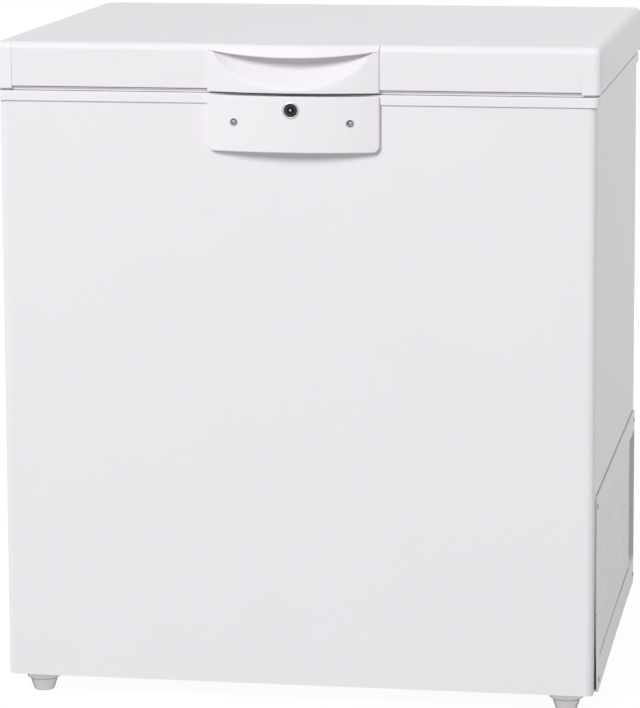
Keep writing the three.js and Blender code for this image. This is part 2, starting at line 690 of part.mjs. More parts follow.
function lockPlate() {
  const rear = frontY - GAP;
  const outside = prismZ(bowedOutline(rear, 0), PLATE_BOTTOM, PLATE_TOP, 10);
  const faceOutline = prismY(roundedRectangle(-handleHalf, PLATE_BOTTOM, handleHalf, PLATE_TOP,
    [9, 9, 0, 0]), bulgeFront - 5, rear + 1, 5);
  const hollow = prismZ(bowedOutline(rear + 1, PLATE_WALL), PLATE_BOTTOM + PLATE_WALL,
    PLATE_TOP - PLATE_WALL, 10);
  const bosses = [-1, 1].map((side) => rodY(bowY(PLATE_SCREW_X) + 1, rear, side * PLATE_SCREW_X,
    PLATE_SCREW_Z, 6, 16));
  const overFrame = block(-200, 200, frontY - FRAME_PROUD - GAP, frontY + 5, CABINET_TOP - GAP, 900);
  const lockHole = rodY(bulgeFront - 5, rear, 0, LOCK_Z, LOCK_RADIUS + GAP, 24);
  const screwWells = [-1, 1].flatMap((side) => [
    rodY(bulgeFront - 5, bowY(PLATE_SCREW_X) + 2.2, side * PLATE_SCREW_X, PLATE_SCREW_Z, 5.2, 18),
    rodY(bulgeFront - 5, rear + 1, side * PLATE_SCREW_X, PLATE_SCREW_Z, 2.6, 12)]);
  const shell = cut(outside.intersect(faceOutline), hollow);
  return cut(join(shell, ...bosses), overFrame, lockHole, ...screwWells,
    camSlot(PLATE_TOP - 6, PLATE_TOP + 1));
}

function plateScrew(side) {
  const seat = bowY(PLATE_SCREW_X) + 2.2 - GAP;
  const head = rodY(seat - 2.2, seat, side * PLATE_SCREW_X, PLATE_SCREW_Z, 4, 18);
  const shank = rodY(seat - 0.5, frontY + 14, side * PLATE_SCREW_X, PLATE_SCREW_Z, 2, 12);
  const cross = join(
    block(side * PLATE_SCREW_X - 2.4, side * PLATE_SCREW_X + 2.4, seat - 3, seat - 1.3,
      PLATE_SCREW_Z - 0.5, PLATE_SCREW_Z + 0.5),
    block(side * PLATE_SCREW_X - 0.5, side * PLATE_SCREW_X + 0.5, seat - 3, seat - 1.3,
      PLATE_SCREW_Z - 2.4, PLATE_SCREW_Z + 2.4));
  return cut(join(head, shank), cross);
}

const lockFace = bulgeFront - LOCK_PROUD;
function lockBezel() {
  const y1 = bulgeFront - GAP;
  return cut(rodY(lockFace, y1, 0, LOCK_Z, 11, 24), rodY(lockFace - 1, y1 + 1, 0, LOCK_Z, 8.6, 24));
}

const cylinderRear = frontY - 9;
function lockCylinder() {
  const body = rodY(lockFace + 0.4, cylinderRear, 0, LOCK_Z, LOCK_RADIUS, 24);
  const keyway = block(-3.2, 3.2, lockFace - 1, lockFace + 9, LOCK_Z - 0.8, LOCK_Z + 0.8);
  const pinWell = rodY(lockFace - 1, lockFace + 7, 0, LOCK_Z, 1.8, 12);
  return cut(body, keyway, pinWell);
}

// The cam lies to the right when unlocked, and turns up into the handle to lock.
function lockCam() {
  const y0 = cylinderRear + GAP;
  const outline = roundedRectangle(-6, LOCK_Z - 6, CAM_LENGTH, LOCK_Z + 6, [5, 2, 2, 5]);
  return prismY(outline, y0, y0 + 2, 3);
}

add('lid_handle', lidHandle(), whitePlastic);
add('lock_plate', lockPlate(), whitePlastic);
add('lock_plate_screw_left', plateScrew(-1), zinc);
add('lock_plate_screw_right', plateScrew(1), zinc);
add('lock_bezel', lockBezel(), chrome);
add('lock_cylinder', lockCylinder(), blackMetal);
add('lock_cam', lockCam(), zinc);

// ---- Hinges ------------------------------------------------------------------------
const cheek = 2.5;
const knuckle = 7.5;
function hingeBracket(x) {
  const y0 = backY + GAP;
  const half = HINGE_WIDTH / 2;
  const base = block(x - half, x + half, y0, y0 + cheek, 724, sheetTop - 1);
  const outline = new THREE.Shape();
  outline.moveTo(y0, 736);
  outline.lineTo(HINGE_PIN_Y + knuckle, 764);
  outline.absarc(HINGE_PIN_Y, HINGE_PIN_Z, knuckle, 0, Math.PI, false);
  outline.lineTo(HINGE_PIN_Y - knuckle, sheetTop - 6);
  outline.lineTo(y0, sheetTop - 6);
  const cheeks = [x - half, x + half - cheek].map((x0) => prismX(outline, x0, x0 + cheek, 5));
  const bore = rodX(x - half - 1, x + half + 1, HINGE_PIN_Y, HINGE_PIN_Z, HINGE_PIN_RADIUS + GAP);
  return cut(join(base, ...cheeks), bore);
}

function hingePin(x) {
  const half = HINGE_WIDTH / 2;
  return join(
    rodX(x - half - 3, x + half + 2, HINGE_PIN_Y, HINGE_PIN_Z, HINGE_PIN_RADIUS),
    rodX(x + half + GAP, x + half + 2.5, HINGE_PIN_Y, HINGE_PIN_Z, 5));
}

function hingeArm(x) {
  const half = HINGE_WIDTH / 2 - cheek - 1;
  const y0 = lidBack + GAP;
  const plate = block(x - half, x + half, y0, y0 + 2.5, HINGE_PIN_Z + 5, LID_TOP - 18);
  const barrel = rodX(x - 10, x + 10, HINGE_PIN_Y, HINGE_PIN_Z, 6.5, 20);
  const web = block(x - 10, x + 10, y0, HINGE_PIN_Y, HINGE_PIN_Z + 1, HINGE_PIN_Z + 7.5);
  const bore = rodX(x - 30, x + 30, HINGE_PIN_Y, HINGE_PIN_Z, HINGE_PIN_RADIUS + 0.05, 24);
  return cut(join(plate, barrel, web), bore);
}

// Torsion spring wound on the pin, beside the barrel.
function hingeSpring(x) {
  const turns = 4;
  const stepsPerTurn = 10;
  const points = Array.from({ length: turns * stepsPerTurn + 1 }, (_, i) => {
    const angle = (i / stepsPerTurn) * 2 * Math.PI;
    return [x + 12 + (i / (turns * stepsPerTurn)) * 8,
      HINGE_PIN_Y + 4.6 * Math.cos(angle), HINGE_PIN_Z + 4.6 * Math.sin(angle)];
  });
  return tube(points, 0.8, turns * stepsPerTurn, 4);
}

for (const [side, x] of [['left', -HINGE_X], ['right', HINGE_X]]) {
  add(`hinge_bracket_${side}`, hingeBracket(x), zinc);
  add(`hinge_pin_${side}`, hingePin(x), zinc);
  add(`hinge_arm_${side}`, hingeArm(x), zinc);
  add(`hinge_spring_${side}`, hingeSpring(x), zinc);
}

// ---- Basket ------------------------------------------------------------------------
// Welded wires lie against each other and sink a little into one another where they cross.
const WELD = 1;
function wireLoop(x0, x1, y0, y1, z) {
  return cut(block(x0, x1, y0, y1, z, z + WIRE),
    block(x0 + WIRE, x1 - WIRE, y0 + WIRE, y1 - WIRE, z - 1, z + WIRE + 1));
}

function basket() {
  const x0 = BASKET_LEFT;
  const x1 = x0 + BASKET_WIDTH;
  const y1 = BASKET_LENGTH / 2;
  const y0 = -y1;
  const low = BASKET_BOTTOM;
  const rim = frameTop - LEDGE_DROP + GAP;
  const hook = tubY - 3 + 9;
  const upperLoop = rim - 18;
  const reach = WIRE - WELD;
  const loops = [
    wireLoop(x0, x1, -hook, hook, rim), // rests on the frame's ledge by its two ends
    wireLoop(x0, x1, y0, y1, upperLoop),
    wireLoop(x0, x1, y0, y1, (low + upperLoop) / 2),
    wireLoop(x0, x1, y0, y1, low),
  ];
  const wires = [];
  const sideWires = 5;
  for (let i = 0; i < sideWires; i += 1) {
    const y = y0 + 2 + (i * (y1 - y0 - WIRE - 4)) / (sideWires - 1);
    wires.push(block(x0 - reach, x0 + WELD, y, y + WIRE, low + WELD, rim + reach));
    wires.push(block(x1 - WELD, x1 + reach, y, y + WIRE, low + WELD, rim + reach));
    wires.push(block(x0 + WELD, x1 - WELD, y, y + WIRE, low - reach, low + WELD));
  }
  const endWires = 3;
  for (let i = 0; i < endWires; i += 1) {
    const x = x0 + 2 + (i * (x1 - x0 - WIRE - 4)) / (endWires - 1);
    wires.push(block(x, x + WIRE, y0 - reach, y0 + WELD, low + WELD, upperLoop + reach));
    wires.push(block(x, x + WIRE, y1 - WELD, y1 + reach, low + WELD, upperLoop + reach));
    wires.push(block(x, x + WIRE, y0 + WELD, y1 - WELD, low - 2 * reach, low - reach + WELD));
  }
  return join(...loops, ...wires);
}

add('basket', basket(), wireWhite);

export default freezer;
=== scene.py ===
import json
import math

import bmesh
import bpy
from mathutils import Matrix, Vector


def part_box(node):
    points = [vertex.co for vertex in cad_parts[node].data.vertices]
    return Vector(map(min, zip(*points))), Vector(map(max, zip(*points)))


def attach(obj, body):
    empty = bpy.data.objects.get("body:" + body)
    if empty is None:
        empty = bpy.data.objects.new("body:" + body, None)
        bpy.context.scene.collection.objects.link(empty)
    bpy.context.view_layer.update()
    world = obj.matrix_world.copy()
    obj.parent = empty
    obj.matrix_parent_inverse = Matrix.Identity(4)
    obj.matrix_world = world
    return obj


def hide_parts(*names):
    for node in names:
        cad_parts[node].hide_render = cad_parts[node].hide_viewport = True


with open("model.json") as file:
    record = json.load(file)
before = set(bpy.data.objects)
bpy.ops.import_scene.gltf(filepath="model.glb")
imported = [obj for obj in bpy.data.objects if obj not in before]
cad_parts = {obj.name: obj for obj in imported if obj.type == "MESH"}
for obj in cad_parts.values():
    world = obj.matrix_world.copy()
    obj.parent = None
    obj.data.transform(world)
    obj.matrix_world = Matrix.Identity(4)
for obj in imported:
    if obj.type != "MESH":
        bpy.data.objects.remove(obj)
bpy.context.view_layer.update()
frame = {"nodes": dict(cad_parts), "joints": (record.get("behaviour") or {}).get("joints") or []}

scene = bpy.context.scene
scene.view_settings.view_transform = "Standard"
MM = 0.001  # sizes below are in millimetres, with the floor at z = 0 and the front towards -Y


# ---- Camera ----
# A long lens to the right of the middle, a little above the lid. The small downward
# shift keeps the cabinet's upright edges nearly parallel.
TURN, TILT, ROLL = 0.1661, 0.1437, 0.0040  # radians to the left, downwards and clockwise

bpy.ops.object.camera_add()
camera = bpy.context.object
camera.name = "camera"
camera.data.lens = 182.55
camera.data.shift_y = -0.165
camera.matrix_world = (
    Matrix.Translation((0.79014, -4.83226, 1.28718))
    @ Matrix.Rotation(TURN, 4, "Z")
    @ Matrix.Rotation(math.pi / 2 - TILT, 4, "X")
    @ Matrix.Rotation(-ROLL, 4, "Z")
)
scene.camera = camera


# ---- Studio ----
# A white floor without an end, even light from all round, and one large soft box in
# front on the left and above. Weaker boxes fill in the two sides and the back.
ROOM_LIGHT = 0.42
FLOOR_GLOW = 0.93  # share of the floor's white that does not darken in the shadow
FLOOR_SIZE = 16  # metres
AIM = Vector((0, -0.1, 0.55))  # near the middle of the cabinet, in metres


def blank_tree(owner):
    owner.use_nodes = True
    owner.node_tree.nodes.clear()
    return owner.node_tree


def add_node(tree, kind, inputs=(), **settings):
    """A shader node. Each input gets its value, or the node or socket that feeds it."""
    made = tree.nodes.new("ShaderNode" + kind)
    for setting, value in settings.items():
        setattr(made, setting, value)
    for name, value in dict(inputs).items():
        if isinstance(value, bpy.types.Node):
            value = value.outputs[0]
        if isinstance(value, bpy.types.NodeSocket):
            tree.links.new(value, made.inputs[name])
        else:
            made.inputs[name].default_value = value
    return made


def seen_directly(tree):
    """1 for what the camera sees, also by way of a mirror or through glass, otherwise 0."""
    path = add_node(tree, "LightPath")
    total = path.outputs["Is Camera Ray"]
    for name in ("Is Glossy Ray", "Is Transmission Ray"):
        total = add_node(tree, "Math", {0: total, 1: path.outputs[name]}, operation="MAXIMUM")
    return total


scene.world = bpy.data.worlds.new("even_white_room")
tree = blank_tree(scene.world)
room = add_node(tree, "Background", {"Color": (0.985, 0.985, 1.0, 1), "Strength": ROOM_LIGHT})
white = add_node(tree, "Background", {"Color": (1, 1, 1, 1)})
choice = add_node(tree, "MixShader", {0: seen_directly(tree), 1: room, 2: white})
add_node(tree, "OutputWorld", {0: choice})

bpy.ops.mesh.primitive_plane_add(size=FLOOR_SIZE)
floor = bpy.context.object
floor.name = "studio_floor"
floor_white = bpy.data.materials.new("studio_floor_white")
tree = blank_tree(floor_white)
lit = add_node(tree, "BsdfDiffuse", {"Color": (0.43, 0.43, 0.43, 1)})
dim = add_node(tree, "BsdfDiffuse", {"Color": (0.1, 0.1, 0.1, 1)})
glow = add_node(tree, "Emission", {"Strength": FLOOR_GLOW})
shadowed = add_node(tree, "AddShader", {0: dim, 1: glow})
choice = add_node(tree, "MixShader", {0: seen_directly(tree), 1: lit, 2: shadowed})
add_node(tree, "OutputMaterial", {0: choice})
floor.data.materials.append(floor_white)


def soft_box(name, direction, distance, size, watts):
    """A square lamp that looks at the cabinet from this direction."""
    away = Vector(direction).normalized()
    bpy.ops.object.light_add(type="AREA", location=AIM + away * distance)
    lamp = bpy.context.object
    lamp.name = name
    lamp.data.shape = "SQUARE"
    lamp.data.size = size
    lamp.data.energy = watts
    lamp.rotation_euler = away.to_track_quat("Z", "Y").to_euler()
    lamp.visible_camera = False
    return lamp


soft_box("main_soft_box", (-0.22, -0.775, 0.45), 12.0, 3.85, 950)
for name, direction, watts in (("right_fill", (1, 0.1, 0.5), 17),
                               ("left_fill", (-1, 0.2, 0.15), 16),
                               ("back_fill", (0.1, 1, 0.1), 26)):
    soft_box(name, direction, 3.0, 2.0, watts).visible_glossy = False


# ---- Cabinet sheet ----
# The front and both sides of the cabinet are one steel sheet, bent round two upright
# front corners and coated white. It is open over the machine room, low on the right.
def clear():
    if bpy.context.mode != "OBJECT":
        bpy.ops.object.mode_set(mode="OBJECT")
    bpy.ops.object.select_all(action="DESELECT")


def take(piece):
    clear()
    bpy.context.view_layer.objects.active = piece
    piece.select_set(True)


def name_it(name):
    piece = bpy.context.object
    piece.name = piece.data.name = name
    return piece


def block(name, x, y, z):
    """A box between (low, high) in x, y and z."""
    low, high = (Vector(corner) * MM for corner in zip(x, y, z))
    clear()
    bpy.ops.mesh.primitive_cube_add(size=1, location=(low + high) / 2)
    piece = name_it(name)
    piece.scale = high - low
    bpy.ops.object.transform_apply(location=True, rotation=True, scale=True)
    return piece


def ends(node):
    """Lowest and highest corner of a CAD node, in millimetres."""
    return [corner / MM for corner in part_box(node)]


def centre_of(node):
    """The middle of a CAD node, in millimetres."""
    return [(low + high) / 2 for low, high in zip(*ends(node))]


def blank(name, node):
    """A block as large as a CAD node, to shape a piece from."""
    return block(name, *zip(*ends(node)))


def middle(part):
    """The middle of a face or edge, in millimetres."""
    if hasattr(part, "calc_center_median"):
        return part.calc_center_median() / MM
    return (part.verts[0].co + part.verts[1].co) / 2 / MM


def along(edge, axis):
    run = edge.verts[0].co - edge.verts[1].co
    return abs(run["xyz".index(axis)]) > 0.999 * run.length


def pick(piece, kind, wanted=lambda part: True):
    """Edit mode with the faces, edges or corners selected that wanted() says yes to."""
    take(piece)
    bpy.ops.object.mode_set(mode="EDIT")
    bpy.ops.mesh.select_mode(type=kind)
    bpy.ops.mesh.select_all(action="DESELECT")
    mesh = bmesh.from_edit_mesh(piece.data)
    for part in {"VERT": mesh.verts, "EDGE": mesh.edges, "FACE": mesh.faces}[kind]:
        if wanted(part):
            part.select_set(True)
    bmesh.update_edit_mesh(piece.data)


def draw_out(x=0, y=0, z=0):
    """Extrudes what is selected by these distances."""
    bpy.ops.mesh.extrude_region_move(TRANSFORM_OT_translate={"value": (x * MM, y * MM, z * MM)})


def remove_faces(piece, wanted):
    pick(piece, "FACE", wanted)
    bpy.ops.mesh.delete(type="FACE")
    clear()


def round_edges(piece, wanted, radius, segments=4):
    pick(piece, "EDGE", wanted)
    bpy.ops.mesh.bevel(offset=radius * MM, segments=segments, affect="EDGES",
                       clamp_overlap=False)
    clear()


def split(piece, axis, *places):
    """Cuts new edges right round the piece at these places along an axis."""
    normal = Vector([letter == axis for letter in "xyz"])
    for place in places:
        pick(piece, "FACE")
        bpy.ops.mesh.bisect(plane_co=normal * place * MM, plane_no=normal)
        clear()


def modify(piece, kind, **settings):
    take(piece)
    change = piece.modifiers.new(kind, kind)
    for setting, value in settings.items():
        setattr(change, setting, value)
    bpy.ops.object.modifier_apply(modifier=change.name)


def thicken(piece, wall):
    """A wall grown inwards from the outer skin."""
    modify(piece, "SOLIDIFY", thickness=wall * MM, offset=-1, use_even_offset=True)


def soften(piece, radius, segments=2, angle=40):
    modify(piece, "BEVEL", width=radius * MM, segments=segments, limit_method="ANGLE",
           angle_limit=math.radians(angle), use_clamp_overlap=True, miter_outer="MITER_ARC")


def carve(piece, *tools):
    for tool in tools:
        modify(piece, "BOOLEAN", operation="DIFFERENCE", solver="EXACT", object=tool)
        bpy.data.objects.remove(tool, do_unlink=True)


def join(name, *pieces):
    take(pieces[0])
    for piece in pieces[1:]:
        piece.select_set(True)
    bpy.ops.object.join()
    return name_it(name)


def complete(piece, finish, slot, body, *nodes, smooth=35):
    take(piece)
    bpy.ops.object.shade_smooth_by_angle(angle=math.radians(smooth))
    modify(piece, "WEIGHTED_NORMAL", keep_sharp=True, weight=60)
    piece.data.materials.clear()
    piece.data.materials.append(finish)
    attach(piece, body)
    if nodes:
        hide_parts(*nodes)


def surface(name, colour, roughness, metallic=0.0, specular=0.5, mottle=0.02, grain=900.0,
            depth=0.02, spread=0.05, edge=1.0):
    """Colour that drifts a little, uneven gloss and a fine relief, on the piece's own place."""
    material = bpy.data.materials.new(name)
    tree = blank_tree(material)
    place = add_node(tree, "TexCoord").outputs["Object"]
    cloud, smear, fine = [
        add_node(tree, "TexNoise", {"Vector": place, "Scale": scale, "Detail": detail})
        for scale, detail in ((9, 3), (35, 4), (grain, 2))]
    tones = add_node(tree, "ValToRGB", {"Fac": cloud})
    for stop, position, level in zip(tones.color_ramp.elements, (0.3, 0.7),
                                     (1 - mottle, 1 + mottle)):
        stop.position = position
        stop.color = (*[min(1, c * level) for c in colour], 1)
    gloss = add_node(tree, "MapRange", {"Value": smear, "To Min": max(0.02, roughness - spread),
                                        "To Max": min(1, roughness + spread)})
    relief = add_node(tree, "Bump", {"Height": fine, "Strength": depth, "Distance": 0.001})
    shader = add_node(tree, "BsdfPrincipled", {
        "Base Color": tones, "Roughness": gloss, "Normal": relief, "Metallic": metallic,
        "Specular IOR Level": specular, "Specular Tint": (edge, edge, edge, 1)})
    add_node(tree, "OutputMaterial", {0: shader})
    return material


white_coating = surface("white_powder_coating", (0.850, 0.826, 0.856), 0.48, specular=0.2,
                        mottle=0.004, grain=420, depth=0.02, spread=0.02)

low, high = ends("outer_cabinet")
_, cabinet_front, cabinet_bottom = low
cabinet_right, cabinet_back, _ = high
CORNER = 10
SHEET = 1
vent_low, vent_high = ends("side_vent_cover")
vent_opening_front = vent_low.y + 9  # behind the cover's edge
VENT_GAP = 1.8  # between the sheet and the cover's top edge

cabinet_sheet = blank("cabinet_sheet", "outer_cabinet")
remove_faces(cabinet_sheet, lambda face: abs(face.normal.z) > 0.9 or face.normal.y > 0.9)
round_edges(cabinet_sheet, lambda edge: along(edge, "z") and middle(edge).y < 0, CORNER, 8)
split(cabinet_sheet, "y", vent_opening_front)
split(cabinet_sheet, "z", vent_high.z + VENT_GAP)
remove_faces(cabinet_sheet, lambda face: face.normal.x > 0.9 and middle(face).z < vent_high.z
             and middle(face).y > vent_opening_front)
thicken(cabinet_sheet, SHEET)
complete(cabinet_sheet, white_coating, "white_sheet", "cabinet", "outer_cabinet")


# ---- Back and bottom sheets ----
# Bare galvanised steel. The back has pressed beads that stiffen it and sheet screws
# along its edges; the bottom sheet, the tray and the compressor's plate are flat.
def found(tree, kind):
    """The first node of this kind."""
    return next(node for node in tree.nodes if node.type == kind)


def galvanised(name, colour=(0.60, 0.62, 0.64)):
    """Zinc coating with its frost-like crystals."""
    material = surface(name, colour, 0.42, metallic=0.75, mottle=0.03, grain=260, depth=0.03)
    tree = material.node_tree
    crystals = add_node(tree, "TexVoronoi", {
        "Vector": found(tree, "TEX_COORD").outputs["Object"], "Scale": 110})
    shade = add_node(tree, "SeparateColor", {0: crystals.outputs["Color"]})
    dull, bright = [(*[c * level for c in colour], 1) for level in (0.95, 1.03)]
    frost = add_node(tree, "Mix", {"Factor": shade, 6: dull, 7: bright}, data_type="RGBA")
    tree.links.new(frost.outputs[2], found(tree, "BSDF_PRINCIPLED").inputs["Base Color"])
    return material


def dress(finish, *nodes):
    """The finish for CAD nodes that are shown as they are."""
    for node in nodes:
        for material_slot in frame["nodes"][node].material_slots:
            material_slot.material = finish


zinc = galvanised("galvanised_sheet")
dress(zinc, "base_panel", "machine_room_tray", "compressor_base_plate")

low, high = ends("rear_panel")
room_left = ends("compressor_base_plate")[0].x - 1
grille_low, grille_high = ends("rear_grille")
room_top = grille_high.z + 2
BEAD_WIDTH = 16
BEAD_RISE = 2.2
BEAD_PLACES = (-300, -150, 0, 150)
BEAD_BOTTOM, BEAD_TOP = 330, 700

back_panel = blank("back_panel", "rear_panel")
remove_faces(back_panel, lambda face: face.normal.y < 0.9)
split(back_panel, "x", room_left)
split(back_panel, "z", room_top)
remove_faces(back_panel, lambda face: middle(face).x > room_left and middle(face).z < room_top)
for place in BEAD_PLACES:
    split(back_panel, "x", place - BEAD_WIDTH / 2, place + BEAD_WIDTH / 2)
split(back_panel, "z", BEAD_BOTTOM, BEAD_TOP)
pick(back_panel, "FACE", lambda face: BEAD_BOTTOM < middle(face).z < BEAD_TOP
     and any(abs(middle(face).x - place) < BEAD_WIDTH / 2 for place in BEAD_PLACES))
draw_out(y=BEAD_RISE)
clear()
thicken(back_panel, SHEET)
soften(back_panel, 1.4, 3)
complete(back_panel, zinc, "zinc", "cabinet", "rear_panel")


# ---- Screws ----
# Zinc-plated sheet screws with a domed head and a cross recess. One is turned on the
# lathe's axis and copied wherever a sheet, cover or bracket is fixed.
def draw(name, places):
    """A chain of edges from place to place, selected in edit mode."""
    clear()
    bpy.ops.mesh.primitive_plane_add(size=MM)
    piece = name_it(name)
    bpy.ops.object.mode_set(mode="EDIT")
    bpy.ops.mesh.select_mode(type="VERT")
    bpy.ops.mesh.select_all(action="SELECT")
    bpy.ops.mesh.merge(type="CENTER")
    bpy.ops.transform.translate(value=places[0])
    for here, there in zip(places, places[1:]):
        bpy.ops.mesh.extrude_region_move(TRANSFORM_OT_translate={"value": there - here})
    bpy.ops.mesh.select_all(action="SELECT")
    return piece


def turned(name, profile, centre, axis="z", steps=48):
    """A profile of (radius, height) points spun about an axis through centre."""
    centre = Vector(centre) * MM
    run = Vector([letter == axis for letter in "xyz"])
    out = Vector((0, 1, 0)) if axis == "x" else Vector((1, 0, 0))
    piece = draw(name, [centre + (out * radius + run * height) * MM for radius, height in profile])
    bpy.ops.mesh.spin(steps=steps, angle=2 * math.pi, center=centre, axis=run)
    bpy.ops.mesh.select_all(action="SELECT")
    bpy.ops.mesh.remove_doubles(threshold=MM * 0.001)
    bpy.ops.mesh.normals_make_consistent(inside=False)
    clear()
    return piece


def hole(name, radius, start, end, centre, axis, steps=32):
    """A round rod from start to end, to carve a hole with."""
    return turned(name, [(0, start), (radius, start), (radius, end), (0, end)], centre, axis,
                  steps)


FACING = {"front": (0, -1, 0), "back": (0, 1, 0), "right": (1, 0, 0)}


def screws(name, facing, spots, radius=4.0, rise=1.7, shank=6.0):
    """Screw heads at these spots, on surfaces that face one way."""
    domed = [(0, rise), (radius * 0.45, rise * 0.94), (radius * 0.8, rise * 0.66),
             (radius, rise * 0.2), (radius, -0.4), (radius * 0.4, -0.4), (radius * 0.4, -shank),
             (0, -shank - 0.5)]
    head = turned(name, domed, (0, 0, 0), steps=24)
    arm, slot, depth = radius * 0.55, radius * 0.14, (rise * 0.3, rise * 2)
    carve(head, block("recess", (-arm, arm), (-slot, slot), depth),
          block("recess", (-slot, slot), (-arm, arm), depth))
    turn = Vector((0, 0, 1)).rotation_difference(Vector(FACING[facing])).to_matrix().to_4x4()
    copies = []
    for spot in spots:
        copy = head.copy()
        copy.data = head.data.copy()
        scene.collection.objects.link(copy)
        copy.data.transform(Matrix.Translation(Vector(spot) * MM) @ turn)
        copies.append(copy)
    bpy.data.objects.remove(head, do_unlink=True)
    return join(name, *copies)


screw_zinc = surface("zinc_plating", (0.62, 0.64, 0.68), 0.28, metallic=1, mottle=0.04,
                     grain=1500, depth=0.04)
dress(screw_zinc, "foot_screw_front_left", "foot_screw_front_right", "foot_screw_rear_left",
      "foot_screw_rear_right")

EDGE_DISTANCE = 9
left_row, right_row = low.x + EDGE_DISTANCE, high.x - EDGE_DISTANCE
spots = [(x, cabinet_back, z) for x in (left_row, right_row) for z in (380, 560, 740)]
spots += [(left_row, cabinet_back, z) for z in (60, 220)]
spots += [(x, cabinet_back, 42) for x in (-250, 0)]
complete(screws("back_screws", "back", spots), screw_zinc, "zinc", "cabinet")


# ---- Insulation and refrigerant tubes ----
# Foam poured between the sheets, with the evaporator and condenser tubes in grooves of
# it. None of it shows once the liner, the frame and the machine room's walls are in.
foam = surface("poured_foam", (0.80, 0.73, 0.46), 0.9, specular=0.2, mottle=0.06, grain=600,
               depth=0.5)
copper = surface("copper_tube", (0.72, 0.42, 0.28), 0.34, metallic=1, mottle=0.12, grain=500,
                 depth=0.03, spread=0.1)
dress(copper, "evaporator_tube", "condenser_tube")


def poured_foam(name, body, node, *hollows):
    """A copy of a CAD foam body with hollows cut where a rounded sheet comes closer."""
    piece = frame["nodes"][node].copy()
    piece.data = piece.data.copy()
    scene.collection.objects.link(piece)
    piece.name = piece.data.name = name
    pick(piece, "VERT")
    bpy.ops.mesh.remove_doubles(threshold=MM * 0.001)
    clear()
    carve(piece, *hollows)
    complete(piece, foam, "insulation", body, node)


# ---- Inner liner ----
# Aluminium sheet with a pressed stucco pattern and a white coating, folded to a tub
# with rounded corners and a step up over the machine room.
liner_white = surface("embossed_liner_white", (0.80, 0.83, 0.85), 0.38, mottle=0.006,
                      grain=700, depth=0.03)
tree = liner_white.node_tree
dimples = add_node(tree, "TexVoronoi", {
    "Vector": found(tree, "TEX_COORD").outputs["Object"], "Scale": 230}, feature="SMOOTH_F1")
stucco = add_node(tree, "Bump", {"Height": dimples, "Strength": 0.5, "Distance": 0.0012})
tree.links.new(stucco.outputs[0], found(tree, "BSDF_PRINCIPLED").inputs["Normal"])

liner_low, liner_high = ends("inner_liner")
tub_x, tub_y = liner_high.x - SHEET, liner_high.y - SHEET
STEP_AT = 131  # where the step's upright wall stands
STEP_RISE = 62  # from the rear cover up to the step
step_top = grille_high.z + STEP_RISE
LINER_RADIUS = 22

liner = block("tub_liner", (-tub_x, STEP_AT), (-tub_y, tub_y),
              (liner_low.z + SHEET, liner_high.z))
split(liner, "z", step_top)
pick(liner, "FACE", lambda face: face.normal.x > 0.9 and middle(face).z > step_top)
draw_out(x=tub_x - STEP_AT)
clear()
remove_faces(liner, lambda face: face.normal.z > 0.9 and middle(face).z > liner_high.z - 1)
round_edges(liner, lambda edge: along(edge, "z") and abs(middle(edge).x - STEP_AT) > 1
            or along(edge, "x") and middle(edge).z < step_top + 1
            or along(edge, "y") and middle(edge).z < step_top + 1 and len(edge.link_faces) == 2,
            LINER_RADIUS, 6)
pick(liner, "FACE")
bpy.ops.mesh.normals_make_consistent(inside=True)
clear()
thicken(liner, SHEET)
complete(liner, liner_white, "liner", "cabinet", "inner_liner")

poured_foam("cabinet_foam", "cabinet", "cabinet_insulation",
            block("rounded_step", (STEP_AT - 5, STEP_AT + LINER_RADIUS + 2),
                  (-tub_y - 3, tub_y + 3), (step_top - LINER_RADIUS - 2, step_top + 5)))


# ---- Top frame ----
# White moulded frame snapped over the upper edges of the sheets. Its front edge stands
# a little proud, and a ledge round the inside carries the basket.
white_plastic = surface("white_moulded_plastic", (0.864, 0.842, 0.870), 0.46, specular=0.14,
                        mottle=0.003, grain=600, depth=0.004, spread=0.02)
FRAME_RADIUS, MOUTH_RADIUS, LEDGE_RADIUS = 8, 20, 26
MOUTH_INSET = 3
LEDGE = 20
LEDGE_DROP = 7
mouth_x, mouth_y = tub_x - MOUTH_INSET, tub_y - MOUTH_INSET
frame_bottom, frame_top = [corner.z for corner in ends("top_frame")]


def upright(edge):
    return along(edge, "z")


def slab(name, half_x, half_y, z, radius):
    """A block about the freezer's middle, with its upright edges rounded."""
    piece = block(name, (-half_x, half_x), (-half_y, half_y), z)
    round_edges(piece, upright, radius, 6)
    return piece


top_frame = blank("moulded_top_frame", "top_frame")
round_edges(top_frame, upright, FRAME_RADIUS, 6)
carve(top_frame,
      slab("mouth", mouth_x, mouth_y, (frame_bottom - 5, frame_top + 5), MOUTH_RADIUS),
      slab("ledge", mouth_x + LEDGE, mouth_y + LEDGE, (frame_top - LEDGE_DROP, frame_top + 5),
           LEDGE_RADIUS))
round_edges(top_frame, lambda edge: middle(edge).z > frame_top - 0.1
            and edge.calc_face_angle(0) > 1, 1.6, 3)
soften(top_frame, 0.6, 2, 50)
complete(top_frame, white_plastic, "white_plastic", "cabinet", "top_frame")


# ---- Drain ----
# A plastic tube through the floor of the tub, closed from above by a soft plug with a
# knob to pull it out by.
def below(node):
    """The point on the floor below the middle of a CAD node, in millimetres."""
    return (*centre_of(node)[:2], 0)


soft_grey = surface("soft_grey_vinyl", (0.68, 0.67, 0.69), 0.55, mottle=0.03, grain=1300,
                    depth=0.08)
dress(white_plastic, "drain_tube")

